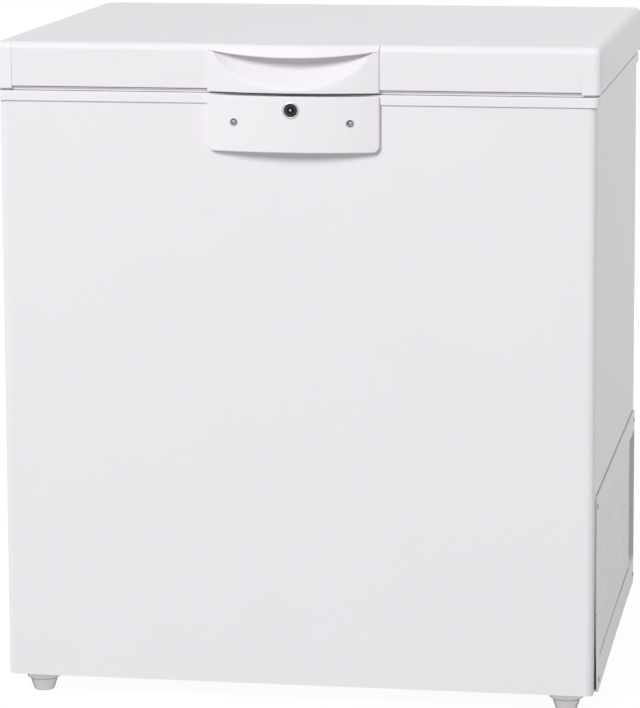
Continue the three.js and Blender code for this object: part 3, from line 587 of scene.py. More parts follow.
low, high = ends("drain_plug")
seat = high.z - 8
plug = turned("pull_plug", [
    (0, low.z), (5.2, low.z), (5.7, low.z + 0.6), (6.6, low.z + 5), (6.2, low.z + 8),
    (6.7, low.z + 11), (6.7, seat), (13.2, seat), (14, seat + 0.8), (13.6, seat + 2.2),
    (12, seat + 3), (6, seat + 3.4), (4.4, seat + 4.4), (4, seat + 5.8), (5, seat + 6.6),
    (4.8, seat + 7.6), (3.6, high.z), (0, high.z)], below("drain_plug"))
complete(plug, soft_grey, "gasket", "drain_plug", "drain_plug")


# ---- Feet ----
# Four grey plastic cones with a flange under the cabinet's bottom, each screwed on from
# below through a deep recess.
foot_grey = surface("grey_foot_lacquer", (0.62, 0.60, 0.61), 0.3, metallic=0.75, mottle=0.02,
                    grain=500, depth=0.01, spread=0.02, edge=0.12)
for node in ("foot_front_left", "foot_front_right", "foot_rear_left", "foot_rear_right"):
    top = ends(node)[1].z
    cone = turned("cone_" + node, [
        (3, top), (22.5, top), (22.5, 19.4), (22.2, 18.4), (21.4, 17.7), (20, 17.2),
        (18.9, 16.4), (18.1, 15.2), (14, 3), (13.4, 1.2), (12, 0), (9.2, 0), (8.4, 0.8),
        (8, 2), (8, 16), (3, 16), (3, top)], below(node))
    complete(cone, foot_grey, "foot_plastic", "cabinet", node)


# ---- Machine room walls ----
# Sheet linings that keep the foam out of the machine room on its inner side, above and
# in front, their zinc painted darker as shade. A black strip inside the gap above the
# vent cover is painted shade that makes the gap read dark.
PLAY, LINING = 0.1, 0.7  # gap to the next sheet, thickness
wall_face, wall_bottom = room_left + PLAY + LINING, cabinet_bottom + 1.5
ceiling_top = room_top - 2 * PLAY
ceiling_under = ceiling_top - LINING
room_y = (cabinet_front + 2, cabinet_back - 3)
front_y = (cabinet_front + SHEET + PLAY, cabinet_front + SHEET + PLAY + LINING)

inner_wall = block("machine_room_wall", (room_left + PLAY, wall_face), room_y,
                   (wall_bottom, ceiling_top))
ceiling = block("machine_room_ceiling", (wall_face, cabinet_right - SHEET - 0.5), room_y,
                (ceiling_under, ceiling_top))
round_edges(ceiling, lambda edge: upright(edge) and middle(edge).x > room_left + 50
            and middle(edge).y < 0, CORNER + 2, 4)
front_wall = block("machine_room_front", (wall_face, cabinet_right - CORNER - 2), front_y,
                   (wall_bottom, ceiling_under))
room_lining = join("machine_room_lining", inner_wall, ceiling, front_wall)
# The lining's zinc is a darker copy of the galvanised finish: painted shade for the dim machine
# room.
complete(room_lining, galvanised("painted_shade_zinc", (0.42, 0.43, 0.45)), "zinc", "cabinet")

# Black that stands in for the shade inside the gap above the vent cover: painted shade.
gap_shade_black = surface("black_painted_gap_shade", (0.03, 0.03, 0.032), 0.8, specular=0.2,
                        mottle=0.1, grain=1500, depth=0.1)
shade_strip = block("gap_shade_strip", (cabinet_right - 1.28, cabinet_right - 1.05),
             (vent_opening_front, cabinet_back - 3), (room_top - 8, room_top + 10))
soften(shade_strip, 0.08, 1)
complete(shade_strip, gap_shade_black, "black_rubber", "cabinet")


# ---- Side vent cover ----
# A grey-white moulded cover over the machine room: a rimmed plate with sixteen curved
# slats and a recessed strip behind their ends. Its lower front corner bows out a little.
def cut_out(name, outline, axis, low, high):
    """A piece with this outline across the axis, filled and drawn out from low to high."""
    across = ["xyz".index(letter) for letter in "xyz" if letter != axis]
    places = []
    for pair in outline:
        place = Vector((low, low, low))
        place[across[0]], place[across[1]] = pair
        places.append(place * MM)
    piece = draw(name, places)
    bpy.ops.mesh.edge_face_add()
    draw_out(**{axis: high - low})
    bpy.ops.mesh.select_all(action="SELECT")
    bpy.ops.mesh.normals_make_consistent(inside=False)
    clear()
    return piece


vent_white = surface("grey_white_moulded_plastic", (0.77, 0.755, 0.77), 0.45, specular=0.35,
                     mottle=0.01, grain=900, depth=0.01, spread=0.03)
SLATS = 16
SLAT_PITCH = 11.8
# The outline of a slat: out from the cover's face, and up from the top of its row.
SLAT = [(-5.6, 1.3), (-3.6, 0.3), (-2.2, -0.4), (-1.2, -1.0), (-0.6, -1.8), (-0.3, -3.2),
        (-0.3, -7.0), (-0.8, -8.8), (-1.7, -10.1), (-2.9, -10.9), (-4.2, -11.2), (-4.2, -10.2),
        (-2.6, -9.2), (-1.8, -7.2), (-1.8, -3.6), (-2.8, -1.8), (-4.4, -0.8), (-6.2, 0.3)]
BENDS_Y, BENDS_Z = (-200, -150, -75, 0, 100), (100, 180)  # edges that let the cover bow
STRIP_DEPTH = 6.6
slat_front = vent_low.y + 36
slat_back = cabinet_front + 552
strip_back = vent_high.y - 3
window_top = vent_high.z - 30
window_bottom = window_top - SLATS * SLAT_PITCH
BOW = 3.3


def stands_off(y, z):
    """How far the cover stands off the cabinet here: most at its lower front corner."""
    down = max(0.0, vent_high.z - z) / (vent_high.z - vent_low.z)
    forward = (vent_high.y - y) / (vent_high.y - vent_low.y)
    return BOW * down ** 2.6 * forward ** 2


def in_window(face, front, back):
    centre = middle(face)
    return (face.normal.x > 0.9 and front < centre.y < back
            and window_bottom < centre.z < window_top)


cover = blank("vent_cover", "side_vent_cover")
round_edges(cover, lambda edge: along(edge, "x"), 4, 4)
round_edges(cover, lambda edge: along(edge, "y") and middle(edge).x > vent_high.x - 1
            and middle(edge).z > vent_high.z - 1, 2.2, 4)
remove_faces(cover, lambda face: face.normal.x < -0.9 or face.normal.y < -0.9)
split(cover, "x", cabinet_right + 0.2)
remove_faces(cover, lambda face: face.normal.z > 0.9 and middle(face).x < cabinet_right)
split(cover, "y", slat_front, *BENDS_Y, slat_back, strip_back)
split(cover, "z", window_bottom, *BENDS_Z, window_top)
remove_faces(cover, lambda face: in_window(face, slat_front, slat_back))
pick(cover, "FACE", lambda face: in_window(face, slat_back, strip_back))
draw_out(x=-STRIP_DEPTH)
clear()
remove_faces(cover, lambda face: abs(face.normal.y) > 0.9
             and abs(middle(face).y - slat_back) < 0.1)
thicken(cover, 1.8)
soften(cover, 0.8, 3, 50)

louvres = []
for row in range(SLATS):
    top = window_top - row * SLAT_PITCH
    curve = [(vent_high.x + out, top + up) for out, up in SLAT]
    louvres.append(cut_out("slat", curve, "y", slat_front - 0.5, slat_back))
    split(louvres[-1], "y", *BENDS_Y)
cover = join("vent_cover", cover, *louvres)
for corner in cover.data.vertices:
    outward = min(1.0, (corner.co.x / MM - vent_low.x) / 6)  # inner edges stay on the cabinet
    corner.co.x += stands_off(corner.co.y / MM, corner.co.z / MM) * outward * MM
complete(cover, vent_white, "vent_plastic", "cabinet", "side_vent_cover", smooth=30)

vent_nodes = [f"vent_screw_{number}" for number in range(1, 5)]
spots = []
for node in vent_nodes:
    _, y, z = centre_of(node)
    spots.append((vent_high.x + stands_off(y, z), y, z))
# Darker than bare zinc: partly the screws' dark plating, partly painted shade of the wells and
# gaps they sit in.
dark_zinc_and_shade = surface("dark_zinc_with_painted_shade", (0.31, 0.31, 0.35), 0.36, metallic=1, mottle=0.1,
                    grain=1500, depth=0.05, edge=0.3)
complete(screws("vent_screws", "right", spots, radius=3.8, rise=1.2, shank=1.2), dark_zinc_and_shade,
         "zinc", "cabinet", *vent_nodes)


# ---- Compressor ----
# A sealed can of two deep-drawn halves, welded round the middle and painted black. It
# stands on four rubber grommets, with the starting relay under a clip-on cover.
black_paint = surface("black_stove_enamel", (0.022, 0.023, 0.026), 0.32, mottle=0.1, grain=300,
                      depth=0.06)
black_rubber = surface("black_rubber", (0.028, 0.028, 0.03), 0.75, specular=0.3, mottle=0.08,
                       grain=1600, depth=0.1)
dark_plastic = surface("dark_moulded_plastic", (0.045, 0.046, 0.05), 0.5, mottle=0.05,
                       grain=1100, depth=0.06)
dress(dark_plastic, "thermostat")

low, high = ends("compressor")
can_foot = below("compressor")
can_x, can_y = can_foot[:2]
can = turned("compressor_can", [
    (0, 54), (44, 54), (56, 57), (64, 64), (69, 76), (71, 92), (71, 129), (74, 130),
    (74.4, 131), (74.4, 136), (74, 137), (71, 138), (71, 160), (69, 176), (64, 189), (55, 199),
    (42, 206), (26, 209), (0, 210)], can_foot, steps=64)
saddle = block("saddle", (low.x, high.x), (can_y - 68, can_y + 68), (51, 54.4))
round_edges(saddle, upright, 14, 5)
compressor = join("compressor_assembled", can, saddle)
complete(compressor, black_paint, "compressor_paint", "cabinet", "compressor")

GROMMET = [(0, 0), (11, 0), (12, 1), (11.6, 3), (9.4, 6), (9, 9), (9.6, 12), (11.6, 15),
           (12, 17), (11, 18.2), (5, 18.2)]  # up to the plate's top side
for number in range(1, 5):
    node = f"compressor_mount_{number}"
    low, high = ends(node)
    x, y, _ = centre_of(node)
    tall = high.z - low.z
    grommet = turned(f"grommet_{number}", GROMMET + [(5, tall - 1), (4, tall), (0, tall)],
                     (x, y, low.z), steps=32)
    complete(grommet, black_rubber, "black_rubber", "cabinet", node)

low, high = ends("start_relay_cover")
relay = block("relay_cover", (low.x, high.x), (low.y, high.y + 12), (low.z, high.z))
round_edges(relay, lambda edge: middle(edge).y < low.y + 1 or along(edge, "y"), 5, 4)
carve(relay, hole("round_back", 75, 60, 220, can_foot, "z", 64))
complete(relay, dark_plastic, "dark_plastic", "cabinet", "start_relay_cover")


# ---- Copper tubes ----
# Suction tube from the evaporator to the can, discharge tube to the filter drier, and
# the drier itself, a fat copper cartridge with necked ends.
def wire(name, points, radius, bend=0, closed=False, sides=3):
    """A round wire or tube along points, with its bends rounded."""
    piece = draw(name, [Vector(point) * MM for point in points])
    if closed:
        mesh = bmesh.from_edit_mesh(piece.data)
        mesh.edges.new([corner for corner in mesh.verts if len(corner.link_edges) == 1])
        bmesh.update_edit_mesh(piece.data)
        bpy.ops.mesh.select_all(action="SELECT")
    if bend:
        mesh = bmesh.from_edit_mesh(piece.data)
        for corner in mesh.verts:
            corner.select_set(len(corner.link_edges) == 2)
        bmesh.update_edit_mesh(piece.data)
        bpy.ops.mesh.bevel(offset=bend * MM, segments=4, affect="VERTICES", clamp_overlap=True)
    take(piece)
    bpy.ops.object.convert(target="CURVE")
    piece = bpy.context.object
    piece.data.bevel_depth = radius * MM
    piece.data.bevel_resolution = sides
    piece.data.use_fill_caps = True
    bpy.ops.object.convert(target="MESH")
    return name_it(name)


drier_foot = below("filter_drier")
drier_x, drier_y = drier_foot[:2]
drier = turned("drier_cartridge", [
    (0, 120), (2.8, 120), (3, 131), (4.4, 134), (8.4, 140), (9.5, 144), (9.5, 206), (8.4, 210),
    (4.4, 217), (3, 220), (2.8, 232), (0, 232)], drier_foot, steps=32)
complete(drier, copper, "copper", "cabinet", "filter_drier")

start = ends("suction_tube")[0].x
suction = wire("suction_line", [
    (start, 40, 240), (start + 14, 40, 240), (drier_x, 54, 205), (can_x - 77, 92, 150),
    (can_x - 71, 124, 106)], 4, bend=16)
complete(suction, copper, "copper", "cabinet", "suction_tube", smooth=60)
discharge = wire("discharge_line", [
    (drier_x, drier_y, 119), (drier_x, drier_y, 92), (drier_x + 14, 12, 76),
    (can_x - 44, 42, 74), (can_x - 22, 80, 84)], 3, bend=12)
complete(discharge, copper, "copper", "cabinet", "discharge_tube", smooth=60)


# ---- Rear grille ----
# Galvanised cover behind the compressor, with pressed louvres, a hole for the
# thermostat's shaft, and the bush that the mains lead leaves by.
LOUVRES = 9
LOUVRE_PITCH = 14
LOUVRE_SLOT = 5
LOWEST_LOUVRE = 78
INLET_RADIUS, SHAFT_RADIUS = 9.3, 5.58
low, high = grille_low, grille_high
louvre_x = (low.x + 18, high.x - 18)
through = (low.y - 4, high.y + 4)
inlet_x, _, inlet_z = centre_of("mains_inlet")
knob_x, _, knob_z = centre_of("thermostat_knob")

grille = blank("louvred_grille", "rear_grille")
remove_faces(grille, lambda face: face.normal.y < 0.9)
thicken(grille, SHEET)
carve(grille, hole("inlet_hole", INLET_RADIUS, *through, (inlet_x, 0, inlet_z), "y"),
      hole("shaft_hole", SHAFT_RADIUS, *through, (knob_x, 0, knob_z), "y"))
rows = []
for row in range(LOUVRES):
    z = LOWEST_LOUVRE + row * LOUVRE_PITCH
    carve(grille, block("slot", louvre_x, (low.y - 3, high.y + 3), (z, z + LOUVRE_SLOT)))
    hood = block("hood", louvre_x, (high.y - SHEET, high.y), (z + LOUVRE_SLOT - 0.6, z + 9))
    pick(hood, "VERT", lambda corner: corner.co.z < (z + LOUVRE_SLOT) * MM)
    bpy.ops.transform.translate(value=(0, 3 * MM, -1.6 * MM))
    clear()
    rows.append(hood)
grille = join("louvred_grille", grille, *rows)
soften(grille, 0.25, 1, 50)
complete(grille, zinc, "zinc", "cabinet", "rear_grille")
spots = [(x, high.y, z) for x in (low.x + 8, high.x - 8) for z in (low.z + 10, high.z - 10)]
complete(screws("grille_screws", "back", spots, radius=3.8), screw_zinc, "zinc", "cabinet")

bush = turned("cord_bush", [
    (4.2, -16), (8.8, -16), (8.8, 0.3), (12.4, 0.3), (13, 0.9), (13, 2), (12.4, 2.6), (8, 2.8),
    (7.4, 3.4), (6.8, 13.4), (6.2, 14), (4.8, 14), (4.2, 13.4), (4.2, -16)],
    (inlet_x, high.y, inlet_z), "y", 40)
complete(bush, dark_plastic, "dark_plastic", "cabinet", "mains_inlet")


# ---- Thermostat knob ----
# White moulded knob with a fluted grip and a raised pointer, on the thermostat's shaft.
# It is turned by hand from behind the cabinet.
FLUTES = 18
FLUTE_DEPTH = 0.45
knob = turned("fluted_knob", [
    (0, -1.8), (4.5, -1.8), (4.5, 0.3), (18, 0.3), (19, 1.2), (18.6, 3), (17.5, 4),
    (14.6, 4.2), (14, 5), (13.6, 13.6), (12.6, 15), (11, 15.3), (0, 15.3)],
    (knob_x, high.y, knob_z), "y", 72)
for corner in knob.data.vertices:
    out = Vector((corner.co.x / MM - knob_x, 0, corner.co.z / MM - knob_z))
    if 13.4 < out.length < 14.2:  # on the grip
        flute = math.cos(math.atan2(out.z, out.x) * FLUTES)
        corner.co -= out.normalized() * FLUTE_DEPTH * (1 + flute) / 2 * MM
pointer = block("pointer", (knob_x - 1.2, knob_x + 1.2), (high.y + 14.8, high.y + 16.5),
                (knob_z + 1, knob_z + 12.6))
soften(pointer, 0.4, 2)
knob = join("fluted_knob", knob, pointer)
complete(knob, white_plastic, "white_plastic", "thermostat_knob", "thermostat_knob")


# ---- Lid panel ----
# One white coated sheet over the foam: front, top and back in one piece with rolled long
# edges, and a hem turned in below. The front is cut open behind the handle.
lid_low, lid_high = ends("lid_outer_panel")
handle_low, handle_high = ends("lid_handle")
LID_ROLL = 10
HEM = 9
GRIP_OPENING = (834, 869)  # bottom and top

lid_panel = blank("lid_panel", "lid_outer_panel")
remove_faces(lid_panel, lambda face: abs(face.normal.x) > 0.9)
split(lid_panel, "y", lid_low.y + HEM, lid_high.y - HEM)
remove_faces(lid_panel, lambda face: face.normal.z < -0.9
             and lid_low.y + HEM < middle(face).y < lid_high.y - HEM)
round_edges(lid_panel, lambda edge: along(edge, "x") and middle(edge).z > lid_high.z - 1
            and abs(edge.calc_face_angle(0)) > 1, LID_ROLL, 10)
round_edges(lid_panel, lambda edge: along(edge, "x") and middle(edge).z < lid_low.z + 1
            and len(edge.link_faces) == 2 and edge.calc_face_angle() > 1, 1.2, 3)
thicken(lid_panel, SHEET)
carve(lid_panel, block("grip_opening", (handle_low.x + 2, handle_high.x - 2),
                       (lid_low.y - 5, lid_low.y + 3), GRIP_OPENING))
complete(lid_panel, white_coating, "white_sheet", "lid", "lid_outer_panel")


# ---- Lid end caps ----
# White moulded caps that close the two ends of the lid, flush with the sheet and a little
# deeper than its hem. Between front and rear, their outer wall is cut back from below.
TIGHT_SEAM = 0.25  # the right cap is pushed up against the sheet
CAP_WALL = 2.4
RELIEF = 2.5  # how far the outer wall is cut back
RELIEF_INSET = 14

for side, node in ((-1, "lid_end_cap_left"), (1, "lid_end_cap_right")):
    low, high = ends(node)
    if side > 0:
        low.x -= TIGHT_SEAM
    cap = block(node.replace("lid_end_cap", "moulded_cap"), *zip(low, high))
    remove_faces(cap, lambda face: face.normal.z < -0.9 or face.normal.x * side < -0.9)
    round_edges(cap, lambda edge: len(edge.link_faces) == 2, LID_ROLL, 8)
    thicken(cap, CAP_WALL)
    outer = high.x if side > 0 else low.x
    carve(cap, block("relief", (outer - 5, outer + 5),
                     (low.y + RELIEF_INSET, high.y - RELIEF_INSET), (low.z - 5, low.z + RELIEF)))
    soften(cap, 0.15, 2, 60)
    complete(cap, white_plastic, "white_plastic", "lid", node)


# ---- Lid inner panel ----
# Vacuum-formed white sheet under the lid: a flat rim for the gasket, and a shallow tray
# with soft edges that reaches into the mouth of the tub.
panel_low, panel_high = ends("lid_inner_panel")
rim_under = panel_high.z - 1.5
tray_x, tray_y = tub_x - 22, tub_y - 24
FORMED_WALL = 0.8
RAISED_INSET = 46
RAISED_BY = 3.5

inner_panel = block("formed_inner_panel", (panel_low.x, panel_high.x),
                    (panel_low.y, panel_high.y), (rim_under, panel_high.z))
remove_faces(inner_panel, lambda face: face.normal.z > -0.9)
split(inner_panel, "x", -tray_x, tray_x)
split(inner_panel, "y", -tray_y, tray_y)
pick(inner_panel, "FACE", lambda face: abs(middle(face).x) < tray_x
     and abs(middle(face).y) < tray_y)
draw_out(z=panel_low.z - rim_under)
bpy.ops.mesh.inset(thickness=RAISED_INSET * MM)
draw_out(z=RAISED_BY)
clear()
round_edges(inner_panel, upright, 16, 6)
round_edges(inner_panel, lambda edge: len(edge.link_faces) == 2 and edge.calc_face_angle() > 0.8
            and not upright(edge), 1.6, 3)
thicken(inner_panel, FORMED_WALL)
folded_edges = [
    block("edge", (panel_low.x + 4, panel_high.x - 4), (y, y + FORMED_WALL),
          (rim_under - 3.5, rim_under + 1.4)) for y in (panel_low.y + 3.4, panel_high.y - 4.2)]
inner_panel = join("formed_inner_panel", inner_panel, *folded_edges)
complete(inner_panel, white_plastic, "white_plastic", "lid", "lid_inner_panel")


# ---- Lid foam ----
# Foam poured between the lid's two panels. It keeps clear of the handle's dish in front
# and of the raised middle of the inner panel.
POCKET_Z = (830, 871.5)
raised_x, raised_y = tray_x - RAISED_INSET, tray_y - RAISED_INSET
poured_foam("lid_foam", "lid", "lid_insulation",
            block("grip_pocket", (handle_low.x + 1, handle_high.x - 1),
                  (lid_low.y - 5, lid_low.y + 13), POCKET_Z),
            block("raised_middle", (-raised_x, raised_x), (-raised_y, raised_y),
                  (panel_low.z - 5, panel_low.z + RAISED_BY + 1.2)))


# ---- Lid gasket ----
# Grey vinyl bellows gasket with a magnet strip inside, pushed into the lid's rim all
# round. Two grooves in its underside let it fold.
low, high = ends("lid_gasket")
GASKET_WIDTH = 15
GROOVE_WIDTH = 1.4


def ring(name, inset, width, z, outer_radius, inner_radius):
    """A ring this far inside the gasket's outer edge."""
    x, y = high.x - inset, high.y - inset
    piece = slab(name, x, y, z, outer_radius)
    carve(piece, slab("hollow", x - width, y - width, (z[0] - 5, z[1] + 5), inner_radius))
    return piece


gasket = ring("bellows_gasket", 0, GASKET_WIDTH, (low.z, high.z), 16, 4)
for inset in (2.2, 11.4):
    carve(gasket, ring("groove", inset, GROOVE_WIDTH, (low.z - 2, low.z + 1.3), 14, 10))
soften(gasket, 0.4, 2, 50)
complete(gasket, soft_grey, "gasket", "lid", "lid_gasket")


# ---- Handle ----
# One white moulding on the lid's front. A bowed visor overhangs a dished recess for the
# fingers, its top laps over the lid's rolled edge, and a slot below lets the lock's cam in.
half = handle_high.x
front = handle_low.y
lid_front = lid_low.y
rear_plane = lid_front - 0.9  # the moulding's back at its two ends
END_SAG = 17.0  # how far the bowed front falls back at its two ends
bow_radius = (half ** 2 + END_SAG ** 2) / (2 * END_SAG)
POCKET = 10.0  # how far the recess reaches into the lid behind its front
POCKET_WALL = 1.3
VISOR_WALL = 2.6
ROOF = 868.0
LIP, LIP_RISE = 857.5, 8.5  # the visor's lip in the middle, and its rise towards the ends
SIDE_ROUND = 2.0
CAM_SLOT_X, CAM_SLOT_TOP = (-8, 28), 822.5
# The recess's lower edge: distance from the middle, height. The visor's outline: height
# above the lip, set-back from it. The dish: shares of the recess's depth, from the back.
RECESS_EDGE = [(0, 818), (16, 818.6), (31, 820.6), (47, 824.6), (63, 830), (76, 836), (86, 843),
               (93, 850), (98, 856.5), (101, 861), (104, 863.8), (half, 865.2)]
VISOR = [(0.5, 0.15), (1.2, 0), (2.6, 0.25), (5, 0.9), (7.5, 1.85), (10, 2.95), (12.5, 4.2),
         (14.5, 5.55), (15.7, 7), (16.3, 8.6), (16.5, 10.5)]
DISH = (1.3, 1.22, 1.15, 1.08, 1.01, 0.94, 0.87, 0.8, 0.72, 0.64, 0.56, 0.48, 0.4, 0.32, 0.24,
        0.16, 0.08, 0)


def bow(x):
    """Where the bowed front lies at x."""
    return front + bow_radius - math.sqrt(bow_radius ** 2 - x ** 2)


def between(place, table):
    """The value at a place, on straight lines between (place, value) pairs."""
    for (x0, v0), (x1, v1) in zip(table, table[1:]):
        if place <= x1:
            return v0 + (v1 - v0) * max(0.0, (place - x0) / (x1 - x0))
    return table[-1][1]


def handle_section(x):
    """Points (y, z) round the section at x: visor, lip, roof, recess, lower face, rear."""
    y, top, foot = bow(x), handle_high.z, handle_low.z
    lap = lid_front + 5
    inward = 1 - (x / half) ** 2
    back, wall = rear_plane + POCKET * inward, POCKET_WALL * inward
    lip = LIP + LIP_RISE * (1 - inward)
    tall = (top - lip) / VISOR[-1][0]
    deep = min(1.0, (lap - 1.5 - y) / VISOR[-1][1])
    outer = [(y + set_back * deep, lip + rise * tall) for rise, set_back in VISOR]
    thick = min(VISOR_WALL, 0.6 * (rear_plane - y))
    under = [(y + 0.25 * thick, lip + 0.15 * tall), (y + 0.45 * thick, lip),
             (y + 0.8 * thick, lip)]
    inner = []
    for z in (lip + 0.3, lip + (ROOF - lip) * 0.5, ROOF - 0.1):
        set_back = between((z - lip) / tall, [(0, 0)] + VISOR) * deep
        inner.append((min(y + set_back + thick, back - 0.05), z))
    edge = between(abs(x), RECESS_EDGE)
    room = back - y
    reach = min(room * (1.45 - 0.45 * inward), (ROOF - 0.5 - edge) / 1.35)

    def floor_at(share):
        """A slope that runs out of the lower face and turns up softly into the back wall."""
        return y + room * share / (1 + share ** 8) ** 0.125, edge + reach * share

    dish = [(back - 0.01, ROOF), (back, max(ROOF - 0.3, edge + 1.35 * reach))]
    dish += [floor_at(share) for share in DISH]
    lower = [(y, (edge + foot) / 2), (y, foot + 1.2), (y + 0.35, foot + 0.35), (y + 1.2, foot)]
    rear = [(lid_front - 0.3, foot)]
    for share in (0.5, 0.7, 0.85, 1):
        deep_y, deep_z = floor_at(share)
        rear.append((max(lid_front - 0.3, deep_y + wall), deep_z - wall))
    roll = LID_ROLL + 0.3
    arc = [(lid_front + LID_ROLL - roll * math.cos(math.radians(angle)),
            top - LID_ROLL + roll * math.sin(math.radians(angle))) for angle in (32, 40, 56)]
    rear.append((max(arc[0][0], back + wall), ROOF + 1))
    return [(lap, top), *reversed(outer), *under, *inner, *dish, *lower, *rear, *arc,
            (lap, top - 0.9)]


columns = [-half + 2 * step for step in range(2, int(half) - 1)]
rim = [half, half - 0.15, half - 0.6, half - 1.2, half - 2.0, half - 3.0]
columns = sorted(set([-x for x in rim] + columns + rim))
rows = len(handle_section(0))
clear()
bpy.ops.mesh.primitive_grid_add(x_subdivisions=len(columns) - 1, y_subdivisions=rows - 1, size=1)
handle = name_it("visor_handle")
corners = sorted(handle.data.vertices, key=lambda corner: (round(corner.co.x, 5),
                                                           round(corner.co.y, 5)))
for column, x in enumerate(columns):
    past = max(0.0, abs(x) - (half - SIDE_ROUND))
    fall = SIDE_ROUND - math.sqrt(max(0.0, SIDE_ROUND ** 2 - past ** 2))
    for row, (y, z) in enumerate(handle_section(x)):
        if y < lid_front - 1:
            y += fall * (rear_plane - y) / (rear_plane - bow(x))
        corners[column * rows + row].co = Vector((x, y, z)) * MM
pick(handle, "EDGE", lambda edge: edge.is_boundary
     and (abs(edge.verts[0].co.x) < half * MM * 0.9999
          or abs(edge.verts[0].co.x - edge.verts[1].co.x) > 1e-7))
bpy.ops.mesh.bridge_edge_loops()
for side in (-1, 1):
    pick(handle, "EDGE", lambda edge: edge.is_boundary and middle(edge).x * side > half - 0.01)
    bpy.ops.mesh.edge_face_add()
pick(handle, "FACE")
bpy.ops.mesh.remove_doubles(threshold=MM * 0.001)
bpy.ops.mesh.normals_make_consistent(inside=False)
clear()
cam_low, cam_high = ends("lock_cam")
carve(handle, block("cam_slot", CAM_SLOT_X, (cam_low.y - 1, cam_high.y + 1),
                    (handle_low.z - 1, CAM_SLOT_TOP)))
complete(handle, white_plastic, "white_plastic", "lid", "lid_handle", smooth=50)


# ---- Lock plate ----
# White moulded plate on the cabinet below the handle, bowed like it, with the lock near
# its top and a screw deep in a hole on each side.
PLATE_CORNER = 9
PLATE_STEPS = 24
LOCK_RADIUS, WELL_RADIUS = 8.5, 5.6
low, high = ends("lock_plate")
lock_low, lock_high = ends("lock_bezel")
lock_z = centre_of("lock_bezel")[2]
screw_x, _, screw_z = centre_of("lock_plate_screw_right")
well_front = bow(screw_x)
well_floor = well_front + 3.4

plate = block("bowed_lock_plate", (-half, half), (front, cabinet_front - 0.3), (low.z, high.z))
round_edges(plate, lambda edge: along(edge, "y") and middle(edge).z < low.z + 1,
            PLATE_CORNER, 8)
flat = half - PLATE_CORNER
split(plate, "x", *[-flat + step * 2 * flat / PLATE_STEPS for step in range(PLATE_STEPS + 1)])
for corner in plate.data.vertices:
    if corner.co.y < (front + 5) * MM:
        corner.co.y = bow(corner.co.x / MM) * MM
soften(plate, 1.8, 4, 55)
carve(plate, hole("lock_hole", LOCK_RADIUS, front - 5, cabinet_front + 2, (0, 0, lock_z), "y", 40),
      block("inside", (-half + 3, half - 3), (bow(half) + 2.2, cabinet_front + 2),
            (low.z + 3, high.z - 3)),
      block("over_frame", (-half - 5, half + 5), (cabinet_front - 3.6, cabinet_front + 5),
            (frame_bottom - 0.3, high.z + 5)))
well = [(0, front - 5), (WELL_RADIUS, front - 5), (WELL_RADIUS, well_front + 0.3),
        (4.5, well_floor), (0, well_floor)]
for side in (-1, 1):
    carve(plate, turned("screw_well", well, (side * screw_x, 0, screw_z), "y", 32))
complete(plate, white_plastic, "white_plastic", "cabinet", "lock_plate")

spots = [(side * screw_x, well_floor - 0.1, screw_z) for side in (-1, 1)]
# The plate screws' dark zinc is partly painted shade of their deep wells.
complete(screws("plate_screws", "front", spots, radius=4.2, rise=2.2), dark_zinc_and_shade, "zinc",
         "cabinet", "lock_plate_screw_left", "lock_plate_screw_right")


# ---- Lock ----
# A round key lock: chromed ring, black barrel with a ring-shaped keyway round a bright
# centre pin, and behind the plate a cam that swings up into the handle.
chrome = surface("bright_chrome", (0.50, 0.50, 0.52), 0.26, metallic=1, mottle=0.02, grain=800,
                 depth=0.01, spread=0.04)
black_gloss = surface("black_lacquer", (0.008, 0.008, 0.01), 0.22, mottle=0.05, grain=900,
                      depth=0.03)
lock_face = (0, lock_low.y, lock_z)  # the lock's parts are measured back from here
ring_depth = lock_high.y - lock_low.y

bezel = turned("lock_ring", [
    (LOCK_RADIUS, ring_depth), (LOCK_RADIUS, 0.5), (8.8, 0.12), (9.3, 0), (10, 0.05),
    (10.6, 0.25), (11, 0.55), (11, ring_depth), (LOCK_RADIUS, ring_depth)], lock_face, "y", 48)
complete(bezel, chrome, "chrome", "cabinet", "lock_bezel")

barrel = turned("lock_barrel", [
    (0, 15), (8.1, 15), (8.1, 0.9), (7.8, 0.5), (4.6, 0.45), (4.2, 0.9), (4.2, 7), (2.6, 7),
    (2.6, 1.4), (2.2, 0.9), (0, 0.8)], lock_face, "y", 48)
carve(barrel, block("notch", (-0.8, 0.8), (lock_low.y - 1, lock_low.y + 3),
                    (lock_z + 4, lock_z + 6)))
complete(barrel, black_gloss, "black_metal", "lock", "lock_cylinder")
pin = turned("lock_pin", [(0, 3), (1.5, 3), (1.5, 0.7), (1.2, 0.4), (0, 0.25)],
             (-0.6, lock_low.y, lock_z + 0.2), "y", 24)
complete(pin, chrome, "chrome", "lock")

cam = blank("lock_cam_plate", "lock_cam")
round_edges(cam, lambda edge: along(edge, "y") and middle(edge).x < 0, 5.4, 6)
round_edges(cam, lambda edge: along(edge, "y") and middle(edge).x > cam_high.x - 1, 2.5, 4)
soften(cam, 0.3, 2)
complete(cam, screw_zinc, "zinc", "lock", "lock_cam")


# ---- Hinges ----
# Two pressed steel hinges behind: a channel screwed to the cabinet, an arm on the lid, a
# pin through both, and a torsion spring wound on the pin that holds the lid up.
hinge_zinc = surface("hinge_zinc", (0.60, 0.62, 0.65), 0.34, metallic=1, mottle=0.05, grain=420,
                     depth=0.05)
pivot = next(joint for joint in frame["joints"] if joint["name"] == "lid_hinge")["pos_m"]
pin_y, pin_z = pivot[1] / MM, pivot[2] / MM
CHEEK = 2.5
KNUCKLE = 7.5
CHANNEL_TOP = 791
CHANNEL_SCREWS = ((-12, 770), (12, 770), (0, 738))  # place beside the middle, height
LEAF_SCREWS = ((-12, 838), (12, 838))
COIL_RADIUS, COIL_WIRE = 4.6, 0.8
TURNS, STEPS = 5, 16  # of the spring

